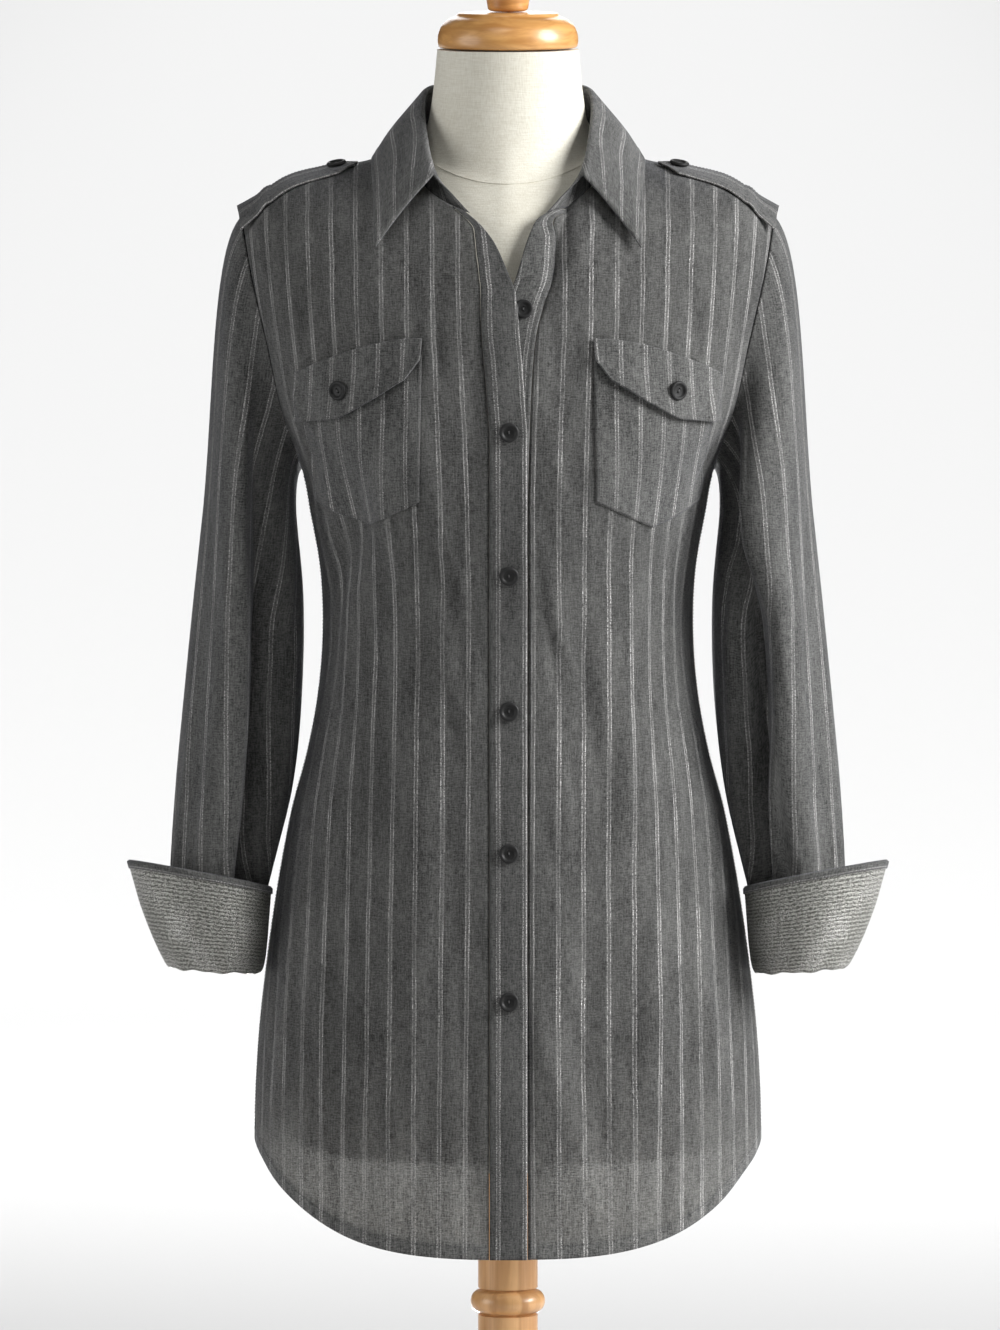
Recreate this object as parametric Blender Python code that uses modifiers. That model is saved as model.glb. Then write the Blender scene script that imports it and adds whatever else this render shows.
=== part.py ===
"""A long striped shirt, worn by a limbless dress form on a turned wooden stand.

Metres, +Z up. The origin is the middle of the stand's foot, on the floor, and the shirt's front faces -Y.
Every cloth piece is a wall on one torso surface: a table of sections gives its girth, and a sloping ridge its
shoulders. Pockets, flaps, placket and shoulder straps are points of that surface, moved out.
"""

import math

import bmesh
import bpy
import numpy as np
from mathutils import Vector

# ------------------------------------------------------------------ driving sizes
CLOTH = 0.0012  # thickness of one panel's wall
DOUBLE_CLOTH = 0.0018  # placket, collar, flaps and shoulder straps are doubled cloth
GAP = 0.0004  # clearance at a seam
FRONT_SEAM_GAP = 0.0008  # clearance beside the placket and the band, where the surface turns sharply
LAID_GAP = 0.0009  # clearance under a piece that lies on a curved panel
BUTTON_GAP = 0.0008  # clearance under a button

ARMPIT_HEIGHT = 0.969
SHOULDER_TIP = (0.198, 1.162)  # x and height where shoulder seam and armhole meet
SHOULDER_SLOPE = 0.42
RIDGE_Y = 0.008  # the shoulder seam lies this far behind the middle
FRONT_ROLL_HEIGHT = 1.020  # above this the front leans back to the ridge
BACK_ROLL_HEIGHT = 1.050
ROLL_POWER = 2.5
ARMHOLE_HALF_DEPTH = 0.056
FRONT_HEM, SIDE_HEM, BACK_HEM = 0.384, 0.4576, 0.386

NECK_SIDE_X = 0.075
NECK_FRONT_X = 0.0357  # where the neckline ends at the front edges
NECK_DROP_FRONT = 0.049
NECK_DROP_BACK = 0.002

PLACKET_WIDTH = 0.028
OVERLAP_LIFT = CLOTH + GAP  # the placket lies on the button band
OPEN_LIFT, OPEN_HEIGHT, OPEN_REACH = 0.0045, 1.100, 0.075  # where it is unbuttoned, it stands off more

FLAP_FLARE = 0.001  # a flap's lower edge stands off its pocket by this much more
BUTTON_RADIUS = 0.0074
BUTTON_THICKNESS = 0.0030
BUTTON_X = 0.0008
BUTTON_HEIGHTS = (1.0072, 0.8995, 0.7958, 0.6892, 0.5783)
OPEN_BUTTON = (0.0114, 1.1030)  # x and height of the one left undone
FLAP_BUTTON = (0.1235, 1.0370)
STRAP_BUTTON_X = 0.1290

STRAP_Y, STRAP_HALF_WIDTH = -0.0070, 0.0190
STRAP_TIP_X, STRAP_END_X = 0.1135, 0.1975
STRAP_STIFF_X = 0.180  # past this x the strap runs straight out, clear of the falling shoulder
STRAP_POINT = 0.014  # length of its pointed end

FORM_BOTTOM = 0.445
NECK_JOIN_X = 0.070  # where the form's shoulder turns up into its neck
POLE_RADIUS = 0.0228
BEAD_RADIUS, BEAD_HEIGHT = 0.0284, 0.3332
BASE_RADIUS, BASE_THICKNESS = 0.165, 0.028

# ------------------------------------------------------------------ tables
# The torso's sections: height, half width, depth in front of the middle, depth behind it, squareness.
TORSO = [
    (0.360, 0.1895, 0.147, 0.151, 2.1),
    (0.470, 0.1912, 0.145, 0.153, 2.1),
    (0.526, 0.1889, 0.143, 0.152, 2.1),
    (0.572, 0.1846, 0.141, 0.150, 2.1),
    (0.640, 0.1755, 0.136, 0.144, 2.1),
    (0.709, 0.1630, 0.130, 0.132, 2.1),
    (0.755, 0.1508, 0.126, 0.122, 2.1),
    (0.801, 0.1424, 0.123, 0.113, 2.1),
    (0.847, 0.1390, 0.122, 0.107, 2.1),
    (0.893, 0.1408, 0.128, 0.106, 2.15),
    (0.938, 0.1485, 0.138, 0.108, 2.2),
    (0.969, 0.1548, 0.142, 0.111, 2.25),
    (1.020, 0.1770, 0.143, 0.116, 2.3),
    (1.070, 0.1905, 0.138, 0.118, 2.3),
    (1.120, 0.2025, 0.131, 0.117, 2.3),
    (1.170, 0.2110, 0.127, 0.115, 2.3),
    (1.260, 0.2150, 0.125, 0.112, 2.3),
]
# The dress form's sections, in the same columns. Above the armpit it fills the shirt's shoulders.
FORM = [
    (0.445, 0.1560, 0.112, 0.120, 2.1),
    (0.520, 0.1620, 0.115, 0.126, 2.1),
    (0.600, 0.1580, 0.114, 0.122, 2.1),
    (0.680, 0.1450, 0.110, 0.112, 2.1),
    (0.760, 0.1280, 0.106, 0.099, 2.1),
    (0.840, 0.1180, 0.104, 0.090, 2.1),
    (0.900, 0.1220, 0.112, 0.092, 2.1),
    (0.969, 0.1400, 0.130, 0.100, 2.2),
    (1.020, 0.1560, 0.134, 0.107, 2.3),
    (1.070, 0.1720, 0.130, 0.110, 2.3),
    (1.120, 0.1860, 0.123, 0.110, 2.3),
    (1.170, 0.1950, 0.119, 0.108, 2.3),
    (1.260, 0.1990, 0.117, 0.105, 2.3),
]
# The form's neck above its join: height, half width, depth in front, depth behind.
NECK = [(1.2380, 0.0593, 0.0600, 0.0610), (1.2564, 0.0566, 0.0570, 0.0585), (1.2877, 0.0535, 0.0540, 0.0550)]
NECK_JOIN_HEIGHTS = (1.190, 1.2105)  # at the middle of the front and of the back
# Where each front's free edge lies: height, distance past the middle towards its own side.
OVER_EDGE = [(1.007, -0.0144), (1.048, -0.0114), (1.095, -0.0070), (1.110, -0.0050), (1.121, -0.0010),
             (1.134, 0.0040), (1.147, 0.0106), (1.160, 0.0213), (1.1716, NECK_FRONT_X)]  # fmt: skip
UNDER_EDGE = [(0.950, -0.0137), (1.020, -0.0115), (1.072, -0.0080), (1.105, -0.0030), (1.121, 0.0022),
              (1.134, 0.0072), (1.154, 0.0140), (1.165, 0.0225), (1.1716, NECK_FRONT_X)]  # fmt: skip
# Large soft folds of the body: angle from the front in degrees (to the wearer's left), lowest height,
# highest height, depth out or in, half width in degrees, lean in degrees from bottom to top.
BODY_FOLDS = [
    (-26, 0.56, 0.96, 0.0024, 11, 6),
    (-44, 0.38, 0.78, -0.0026, 12, 4),
    (22, 0.42, 0.92, -0.0024, 10, -3),
    (40, 0.38, 0.90, 0.0028, 12, -5),
    (-64, 0.38, 0.76, 0.0022, 12, 4),
    (66, 0.38, 0.74, -0.0024, 12, -6),
    (116, 0.38, 0.84, 0.0036, 13, 8),
    (143, 0.40, 0.98, -0.0038, 13, 5),
    (-118, 0.38, 0.86, 0.0032, 13, -8),
    (-148, 0.42, 0.96, -0.0038, 13, -5),
    (176, 0.38, 1.02, 0.0040, 13, 2),
]
# The sleeve below the armpit: height, outer x, inner x, front y, back y.
SLEEVE = [
    (0.930, 0.2315, 0.1610, -0.066, 0.060),
    (0.870, 0.2380, 0.1560, -0.065, 0.053),
    (0.800, 0.2450, 0.1575, -0.064, 0.044),
    (0.730, 0.2515, 0.1655, -0.063, 0.030),
    (0.665, 0.2556, 0.1805, -0.0640, 0.0165),
    (0.635, 0.2550, 0.1875, -0.0645, 0.0110),
    (0.612, 0.2539, 0.1911, -0.0648, 0.0088),
]
# Long folds of a sleeve: angle round it in degrees (0 outside, 90 front), depth, half width in degrees, turn.
SLEEVE_FOLDS = [
    (40, -0.0040, 26, 12),
    (84, 0.0030, 24, -10),
    (128, -0.0036, 24, 14),
    (212, 0.0030, 26, -12),
    (262, -0.0040, 26, 10),
    (310, 0.0028, 26, -10),
]
# The turned-back cuff, from its seam down round the fold and up to the rim: height, middle x, half width,
# half depth, rise per metre towards the outside.
CUFF = [
    (0.6112, 0.2225, 0.0312, 0.0366, 0.02),
    (0.5990, 0.2225, 0.0312, 0.0368, 0.04),
    (0.5925, 0.2226, 0.0324, 0.0380, 0.06),
    (0.5918, 0.2230, 0.0350, 0.0404, 0.07),
    (0.5975, 0.2240, 0.0384, 0.0430, 0.09),
    (0.6110, 0.2264, 0.0430, 0.0462, 0.12),
    (0.6300, 0.2294, 0.0478, 0.0496, 0.16),
    (0.6460, 0.2312, 0.0510, 0.0516, 0.19),
    (0.6590, 0.2326, 0.0535, 0.0530, 0.22),
]
CUFF_Y = -0.0280
# The collar from the middle of the back (0) to its front end (1): x, y and height of its fold, then x and y
# of its outer edge, which rests on the shoulders.
COLLAR = [
    (0.00, 0.0000, 0.0745, 1.2560, 0.0000, 0.0790),
    (0.22, 0.0400, 0.0600, 1.2570, 0.0500, 0.0620),
    (0.42, 0.0605, 0.0260, 1.2560, 0.0880, 0.0300),
    (0.60, 0.0640, -0.0130, 1.2430, 0.1005, -0.0120),
    (0.80, 0.0615, -0.0500, 1.2220, 0.1012, -0.0550),
    (1.00, 0.0565, -0.0830, 1.1960, 0.1014, -0.0865),
]
FOLD_DEPTH = 0.004  # the collar's leaf starts this far below its fold
LEAF_CLEARANCE = 0.0045
# A chest pocket and its flap, from the inner side to the outer: x and height of its top, then of its bottom.
POCKET = [
    (0.0640, 1.0640, 0.0645, 0.9550),
    (0.0770, 1.0630, 0.0752, 0.9495),
    (0.0900, 1.0610, 0.0860, 0.9440),
    (0.1030, 1.0580, 0.0960, 0.9388),
    (0.1150, 1.0550, 0.1060, 0.9335),
    (0.1270, 1.0515, 0.1165, 0.9372),
    (0.1380, 1.0480, 0.1260, 0.9410),
    (0.1480, 1.0445, 0.1350, 0.9455),
    (0.1560, 1.0410, 0.1430, 0.9500),
]
FLAP = [
    (0.0635, 1.0760, 0.0640, 1.0560),
    (0.0750, 1.0755, 0.0752, 1.0480),
    (0.0880, 1.0740, 0.0880, 1.0385),
    (0.1000, 1.0715, 0.1000, 1.0305),
    (0.1120, 1.0680, 0.1115, 1.0235),
    (0.1235, 1.0640, 0.1225, 1.0170),
    (0.1350, 1.0595, 0.1340, 1.0155),
    (0.1460, 1.0545, 0.1450, 1.0140),
    (0.1575, 1.0490, 0.1555, 1.0130),
]
# Outlines of the turned pieces: radius and height, from the top down.
CAP_PROFILE = [(0.0, 1.3160), (0.0375, 1.3160), (0.0390, 1.3130), (0.0450, 1.3108), (0.0505, 1.3060),
               (0.0531, 1.2985), (0.0533, 1.2930), (0.0520, 1.2882), (0.0, 1.2882)]  # fmt: skip
KNOB_PROFILE = [(0.0, 1.3600), (0.0095, 1.3588), (0.0160, 1.3535), (0.0190, 1.3450), (0.0184, 1.3350),
                (0.0160, 1.3240), (0.0150, 1.3164), (0.0, 1.3164)]  # fmt: skip


# ------------------------------------------------------------------ small helpers
def smooth(table, at, column):
    """The table's column at this place, along a curve through its rows."""
    keys = [row[0] for row in table]
    values = [row[column] for row in table]
    at = min(max(at, keys[0]), keys[-1])
    i = 0
    while i < len(keys) - 2 and at > keys[i + 1]:
        i += 1

    def slope(k):
        a, b = max(k - 1, 0), min(k + 1, len(keys) - 1)
        return (values[b] - values[a]) / (keys[b] - keys[a])

    step = keys[i + 1] - keys[i]
    t = (at - keys[i]) / step
    return (
        values[i] * (1 + 2 * t) * (1 - t) ** 2
        + slope(i) * step * t * (1 - t) ** 2
        + values[i + 1] * (3 - 2 * t) * t**2
        - slope(i + 1) * step * (1 - t) * t**2
    )


def mix(a, b, t):
    return a + (b - a) * t


def bump(t):
    """A smooth hump: 1 at 0, and 0 from 1 on."""
    return math.cos(min(abs(t), 1.0) * math.pi / 2) ** 2


def solve(low, high, is_below):
    """The place between low and high where is_below stops being true."""
    for _ in range(24):
        middle = (low + high) / 2
        if is_below(middle):
            low = middle
        else:
            high = middle
    return (low + high) / 2


# ------------------------------------------------------------------ the torso surface
def ridge_height(x):
    tip_x, tip_height = SHOULDER_TIP
    return tip_height + SHOULDER_SLOPE * (tip_x - abs(x))


def surface(table, angle, height, drop=0.0):
    """A point of a torso. The angle is in degrees: 0 is the front, 90 the wearer's left side, 180 the back."""
    power = 2 / smooth(table, height, 4)
    turn = math.radians(angle)
    across, ahead = math.sin(turn), math.cos(turn)
    x = smooth(table, height, 1) * math.copysign(abs(across) ** power, across)
    in_front = ahead >= 0
    y = smooth(table, height, 2 if in_front else 3) * -math.copysign(abs(ahead) ** power, ahead)
    start = FRONT_ROLL_HEIGHT if in_front else BACK_ROLL_HEIGHT
    if height > start:
        share = min((height - start) / (ridge_height(x) - drop - start), 1.0)
        y = mix(RIDGE_Y, y, math.sqrt(1 - share**ROLL_POWER))
    return np.array([x, y, height])


def body_fold(angle, height):
    """The outward swell of the large folds at this angle and height."""
    total = 0.0
    for middle, low, high, depth, half_width, lean in BODY_FOLDS:
        along = (height - low) / (high - low)
        if 0 < along < 1:
            away = (angle - middle - lean * along + 180) % 360 - 180
            total += depth * math.sin(math.pi * along) * bump(away / half_width)
    return total


def outward(angle, height):
    turn, rise = 0.4, 0.0015
    along = surface(TORSO, angle + turn, height) - surface(TORSO, angle - turn, height)
    up = surface(TORSO, angle, height + rise) - surface(TORSO, angle, height - rise)
    normal = np.cross(along, up)
    return normal / np.linalg.norm(normal)


def torso(angle, height, lift=0.0):
    """A point of the shirt's inner face, or one moved out from it by lift."""
    swell = body_fold(angle, height) + lift
    point = surface(TORSO, angle, height)
    return point + outward(angle, height) * swell if swell else point


def angle_at(x, height):
    """The angle of the front point that has this x."""
    share = min(abs(x) / smooth(TORSO, height, 1), 1.0)
    turn = math.asin(share ** (smooth(TORSO, height, 4) / 2))
    return math.copysign(math.degrees(turn), x)


def over_shoulder(x, y, lift=0.0):
    """The point of the shoulders that has this x and y, moved up from them by lift."""

    def height_of(x, y):
        if y < RIDGE_Y:
            return solve(1.03, ridge_height(x), lambda h: surface(TORSO, angle_at(x, h), h)[1] < y)
        return solve(1.06, ridge_height(x), lambda h: surface(TORSO, 180 - angle_at(x, h), h)[1] > y)

    step = 0.002
    across = (height_of(x + step, y) - height_of(x - step, y)) / (2 * step)
    ahead = (height_of(x, y + step) - height_of(x, y - step)) / (2 * step)
    normal = np.array([-across, -ahead, 1.0])
    return np.array([x, y, height_of(x, y)]) + normal / np.linalg.norm(normal) * lift


def hem_height(angle):
    """A shirt-tail hem: high at the side seams, long at the front and back."""
    away = min(abs(angle), 180 - abs(angle)) / 90
    rise = (1 - math.cos(math.pi * away**1.5)) / 2
    return mix(FRONT_HEM if abs(angle) < 90 else BACK_HEM, SIDE_HEM, rise)


def neckline(x, in_front):
    drop = NECK_DROP_FRONT if in_front else NECK_DROP_BACK
    share = min(abs(x) / NECK_SIDE_X, 1.0)
    return ridge_height(NECK_SIDE_X) - drop * math.sqrt(1 - share**2)


def top_height(x, in_front):
    return neckline(x, in_front) if abs(x) < NECK_SIDE_X else ridge_height(x)


def armhole(turn):
    """Angle and height of the armhole, from the shoulder (0) by the front (90) and armpit (180) to the back."""
    share = (1 - math.cos(math.radians(turn))) / 2
    height = mix(SHOULDER_TIP[1], ARMPIT_HEIGHT, share)
    reach = ARMHOLE_HALF_DEPTH * math.sin(math.radians(turn)) * (0.92 + 0.16 * share)
    y = mix(RIDGE_Y, 0.0, share) - reach
    if share < 1e-9:
        return angle_at(SHOULDER_TIP[0], height), height
    if turn <= 180:
        return solve(0, 90, lambda angle: surface(TORSO, angle, height)[1] < y), height
    return solve(180, 90, lambda angle: surface(TORSO, angle, height)[1] > y), height


# ------------------------------------------------------------------ panels
LOW_ROWS = 12
STRIP_ROWS = 8  # above the armpit, up to the neckline
NECK_ROWS = 4  # up the neckline to the shoulder seam
HIGH_TURNS = (180, 163, 146, 129, 112, 95, 78, 61, 44, 29, 16, 7, 0)  # rows at the armhole, close at the ridge
EDGE_TURN = 0.08  # degrees by which a panel stops short of the side seam and armhole


def side_angle(height, in_front):
    """Where a panel ends at this height: at the side seam, or at the armhole above it."""
    if height <= ARMPIT_HEIGHT:
        return 90.0
    share = min((SHOULDER_TIP[1] - height) / (SHOULDER_TIP[1] - ARMPIT_HEIGHT), 1.0)
    turn = math.degrees(math.acos(1 - 2 * max(share, 0.0)))
    tip = armhole(0)[0]
    if turn < 1e-3:
        return tip if in_front else 180 - tip
    return armhole(turn if in_front else 360 - turn)[0]


def low_heights(angle):
    """Heights of a column's points from the hem up to just below the armpit."""
    return [mix(hem_height(angle), ARMPIT_HEIGHT, i / LOW_ROWS) for i in range(LOW_ROWS)]


def high_heights(top, shares):
    return [mix(ARMPIT_HEIGHT, top, share) for share in shares]


ARMHOLE_SHARES = [(1 + math.cos(math.radians(turn))) / 2 for turn in HIGH_TURNS]
STRIP_SHARES = [math.sin(math.pi / 2 * i / STRIP_ROWS) for i in range(STRIP_ROWS + 1)]


def top_of(angle_of, in_front):
    """Where a column meets the neckline or the shoulder seam. angle_of gives its angle at a height."""
    return solve(1.10, 1.26, lambda h: h < top_height(surface(TORSO, angle_of(h), h)[0], in_front))


def column(angle_of, heights, side, lift_of):
    return [torso(side * angle_of(h), h, lift_of(h, side * angle_of(h))) for h in heights]


def strip_angle(edge_table, share, gap=0.0):
    """Angle of a line along the placket or band, at this share of its width from the free edge."""
    return lambda height: angle_at(smooth(edge_table, height, 1) + PLACKET_WIDTH * share + gap, height)


def strip_heights(angle_of):
    return low_heights(angle_of(FRONT_HEM)) + high_heights(top_of(angle_of, True), STRIP_SHARES)


def strip_grid(side, edge_table, lift_of):
    """The placket or the button band: a strip beside a front's free edge."""
    lines = [strip_angle(edge_table, share) for share in (0.0, 0.5, 1.0)]
    return [column(angle_of, strip_heights(angle_of), side, lift_of) for angle_of in lines]


def front_grid(side, edge_table, lift_of):
    """A front. Its inner edge runs up the placket or band, then round the neckline to the shoulder seam."""
    seam = strip_angle(edge_table, 1.0, FRONT_SEAM_GAP)
    corner = top_of(seam, True)
    neck_top = ridge_height(NECK_SIDE_X)
    corner_turn = math.asin((neck_top - corner) / NECK_DROP_FRONT)

    def inner_angle(height):
        if height <= corner:
            return seam(height)
        return angle_at(NECK_SIDE_X * math.sqrt(1 - ((neck_top - height) / NECK_DROP_FRONT) ** 2), height)

    up_strip = [mix(ARMPIT_HEIGHT, corner, share) for share in STRIP_SHARES]
    turns = [corner_turn * (1 - i / NECK_ROWS) for i in range(1, NECK_ROWS + 1)]
    up_neck = [neck_top - NECK_DROP_FRONT * math.sin(turn) for turn in turns]
    inner_shares = [(h - ARMPIT_HEIGHT) / (neck_top - ARMPIT_HEIGHT) for h in up_strip + up_neck]
    grid = []
    for part in [0.0, 0.06] + [i / 9 for i in range(1, 10)]:

        def angle_of(height, part=part):
            return mix(inner_angle(min(height, neck_top)), side_angle(height, True) - EDGE_TURN, part)

        top = top_of(angle_of, True) if part else neck_top
        shares = [mix(a, b, part) for a, b in zip(inner_shares, ARMHOLE_SHARES)]
        line = column(angle_of, low_heights(angle_of(FRONT_HEM)) + high_heights(top, shares), side, lift_of)
        line[-1][1] -= GAP / 2
        grid.append(line)
    return grid


def back_grid():
    """The back, from side seam to side seam."""
    height = ridge_height(NECK_SIDE_X)
    neck_end = angle_at(NECK_SIDE_X, height) / (180 - side_angle(SHOULDER_TIP[1], False))
    half = [neck_end * i / 4 for i in range(5)] + [mix(neck_end, 1.0, i / 6) for i in range(1, 7)]
    grid = []
    for part in [-s for s in reversed(half[1:])] + half:

        def angle_of(height, part=abs(part)):
            return 180 - (180 - side_angle(height, False) - EDGE_TURN) * part

        heights = low_heights(angle_of(FRONT_HEM)) + high_heights(top_of(angle_of, False), ARMHOLE_SHARES)
        line = column(angle_of, heights, math.copysign(1, part), lambda h, a: 0.0)
        if abs(part) > neck_end - 1e-6:
            line[-1][1] += GAP / 2
        grid.append(line)
    return grid


def open_lift(height):
    """How far the right front's edge stands off the torso: on the button band, and more where it is undone."""
    return OVERLAP_LIFT + OPEN_LIFT * bump((height - OPEN_HEIGHT) / OPEN_REACH)


def panel_lift(height, angle):
    """The wearer's right front climbs to its placket."""
    x = surface(TORSO, angle, height)[0]
    seam = smooth(OVER_EDGE, height, 1) + PLACKET_WIDTH
    return open_lift(height) * bump(max(-x - seam, 0.0) / 0.050)


# ------------------------------------------------------------------ making objects
def fresh_collection(name):
    for existing in list(bpy.data.objects):
        bpy.data.objects.remove(existing, do_unlink=True)
    collection = bpy.data.collections.new(name)
    bpy.context.scene.collection.children.link(collection)
    return collection


def material(name, colour, roughness, metallic=0.0):
    made = bpy.data.materials.new(name)
    made.use_nodes = True
    shader = made.node_tree.nodes["Principled BSDF"]
    shader.inputs["Base Color"].default_value = (*colour, 1.0)
    shader.inputs["Roughness"].default_value = roughness
    shader.inputs["Metallic"].default_value = metallic
    return made


def from_body_axis(point):
    return Vector((point.x, point.y, 0))


def add_sheet(shape, grid, ring=False):
    """Faces between the lines of a grid of points, and back to the first line where it is a ring."""
    verts = [[shape.verts.new(point) for point in line] for line in grid]
    pairs = list(zip(verts, verts[1:])) + ([(verts[-1], verts[0])] if ring else [])
    for a, b in pairs:
        for j in range(len(a) - 1):
            shape.faces.new((a[j], b[j], b[j + 1], a[j + 1]))


def add_object(name, mesh, finish, collection):
    mesh.materials.append(finish)
    mesh.shade_smooth()
    mesh.set_sharp_from_angle(angle=math.radians(50))
    made = bpy.data.objects.new(name, mesh)
    collection.objects.link(made)
    return made


def cloth(name, grid, thickness, finish, collection, ring=False, facing=from_body_axis):
    """An open sheet through a grid of points, thickened by Solidify on the side that facing points to."""
    shape = bmesh.new()
    add_sheet(shape, grid, ring)
    shape.normal_update()
    if sum(face.normal.dot(facing(face.calc_center_median())) * face.calc_area() for face in shape.faces) < 0:
        bmesh.ops.reverse_faces(shape, faces=shape.faces)
    mesh = bpy.data.meshes.new(name)
    shape.to_mesh(mesh)
    shape.free()
    made = add_object(name, mesh, finish, collection)
    wall = made.modifiers.new("wall", "SOLIDIFY")
    wall.thickness = thickness
    wall.offset = 1.0
    return made


def turned(name, profile, steps, finish, collection):
    """A turned piece: radius and height from the top of its outline to the bottom."""
    mesh = bpy.data.meshes.new(name)
    points = [(radius, 0, height) for radius, height in profile]
    mesh.from_pydata(points, [(i, i + 1) for i in range(len(points) - 1)], [])
    made = add_object(name, mesh, finish, collection)
    screw = made.modifiers.new("turn", "SCREW")
    screw.steps = screw.render_steps = steps
    screw.use_merge_vertices = True
    screw.merge_threshold = 0.0001
    return made


# ------------------------------------------------------------------ body pieces
def make_body(collection, finish):
    """The panels. Gives the corners of their neckline to the collar."""
    over = lambda h, a: open_lift(h)  # noqa: E731
    flat = lambda h, a: 0.0  # noqa: E731
    front, band, back = front_grid(1, UNDER_EDGE, flat), strip_grid(1, UNDER_EDGE, flat), back_grid()
    cloth("front_right", front_grid(-1, OVER_EDGE, panel_lift), CLOTH, finish, collection)
    cloth("front_left", front, CLOTH, finish, collection)
    cloth("placket", strip_grid(-1, OVER_EDGE, over), DOUBLE_CLOTH, finish, collection)
    cloth("button_band", band, CLOTH, finish, collection)
    cloth("back", back, CLOTH, finish, collection)
    return neck_seam_points(back, front, band)


# ------------------------------------------------------------------ sleeves and cuffs
SLEEVE_TURNS = HIGH_TURNS[::-1] + tuple(360 - turn for turn in HIGH_TURNS[1:-1])  # as the panels' rows
CAP_ROWS = 6


def sleeve_tube(turn, height):
    """A point of the sleeve below the armpit: 0 is its outside, 90 its front."""
    outer, inner, front, back = (smooth(SLEEVE[::-1], height, column) for column in (1, 2, 3, 4))
    along = (SLEEVE[0][0] - height) / (SLEEVE[0][0] - SLEEVE[-1][0])
    fold = 0.0
    for middle, depth, half_width, twist in SLEEVE_FOLDS:
        away = (turn - middle - twist * along + 180) % 360 - 180
        fold += depth * bump(away / half_width) * math.sin(math.pi * min(0.12 + along, 1.0))
    across, ahead = math.cos(math.radians(turn)), math.sin(math.radians(turn))
    x = (outer + inner) / 2 + ((outer - inner) / 2 + fold) * across
    y = (front + back) / 2 - ((back - front) / 2 + fold) * ahead
    return np.array([x, y, height])


def sleeve_head(turn):
    """Points from the armhole seam down to the first ring below the armpit."""
    angle, height = armhole(turn)
    centre = np.array([0.180, 0.0, (SHOULDER_TIP[1] + ARMPIT_HEIGHT) / 2])
    seam = torso(angle, height, CLOTH)
    inward = centre - seam
    inward[0] = 0.0
    seam = seam + inward / np.linalg.norm(inward) * (CLOTH + GAP) + np.array([GAP, 0, 0])
    end = sleeve_tube(turn, SLEEVE[0][0])
    span = np.linalg.norm(end - seam)
    ahead = math.sin(math.radians(turn))
    leave = np.array([0.75, -0.45 * ahead, -0.10 - 0.55 * (1 + math.cos(math.radians(turn))) / 2])
    leave *= 0.40 * span / np.linalg.norm(leave)
    arrive = (sleeve_tube(turn, SLEEVE[0][0] - 0.01) - end) / 0.01 * span * 1.1
    points = []
    for i in range(CAP_ROWS):
        t = i / CAP_ROWS
        points.append(
            seam * (1 + 2 * t) * (1 - t) ** 2
            + leave * t * (1 - t) ** 2
            + end * (3 - 2 * t) * t**2
            - arrive * (1 - t) * t**2
        )
    return points


def mirrored(grid, side):
    return [[point * np.array([side, 1, 1]) for point in line] for line in grid]


def make_sleeve(side, name, collection, finish, facing_finish):
    heights = [mix(SLEEVE[0][0], SLEEVE[-1][0], i / 8) for i in range(9)]
    sleeve = [sleeve_head(turn) + [sleeve_tube(turn, height) for height in heights] for turn in SLEEVE_TURNS]
    middle_x = 0.205 * side

    def from_sleeve_axis(point):
        return Vector((point.x - middle_x, point.y, 0))

    cloth(f"sleeve_{name}", mirrored(sleeve, side), CLOTH, finish, collection, True, from_sleeve_axis)
    cuff = []
    for turn in SLEEVE_TURNS:
        across, ahead = math.cos(math.radians(turn)), math.sin(math.radians(turn))
        cuff.append([
            np.array([x + half_width * across, CUFF_Y - half_depth * ahead, height + tilt * half_width * across])
            for height, x, half_width, half_depth, tilt in CUFF
        ])  # fmt: skip

    def from_cuff_axis(point):
        return Vector((point.x - middle_x, point.y - CUFF_Y, 0)) * max(point.z - 0.61, 0.0)

    cloth(f"cuff_{name}", mirrored(cuff, side), CLOTH, facing_finish, collection, True, from_cuff_axis)


# ------------------------------------------------------------------ collar
def neck_seam_points(back, front, band):
    """Top corners of the panels round half the neck, from the middle of the back to the front edge."""
    across_back = [line[-1] for line in back if -1e-6 <= line[-1][0] <= NECK_SIDE_X + 0.002]
    return across_back + front[0][: -NECK_ROWS - 1 : -1] + [line[-1] for line in reversed(band)]


def along_points(points, share):
    """The place at this share of the length of a run of straight lines."""
    lengths = [np.linalg.norm(b - a) for a, b in zip(points, points[1:])]
    left = share * sum(lengths)
    for a, b, length in zip(points, points[1:], lengths):
        if left <= length or b is points[-1]:
            return mix(a, b, min(left / max(length, 1e-9), 1.0))
        left -= length


def shares_of(points):
    lengths = [np.linalg.norm(b - a) for a, b in zip(points, points[1:])]
    return [sum(lengths[:i]) / sum(lengths) for i in range(len(points))]


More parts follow.
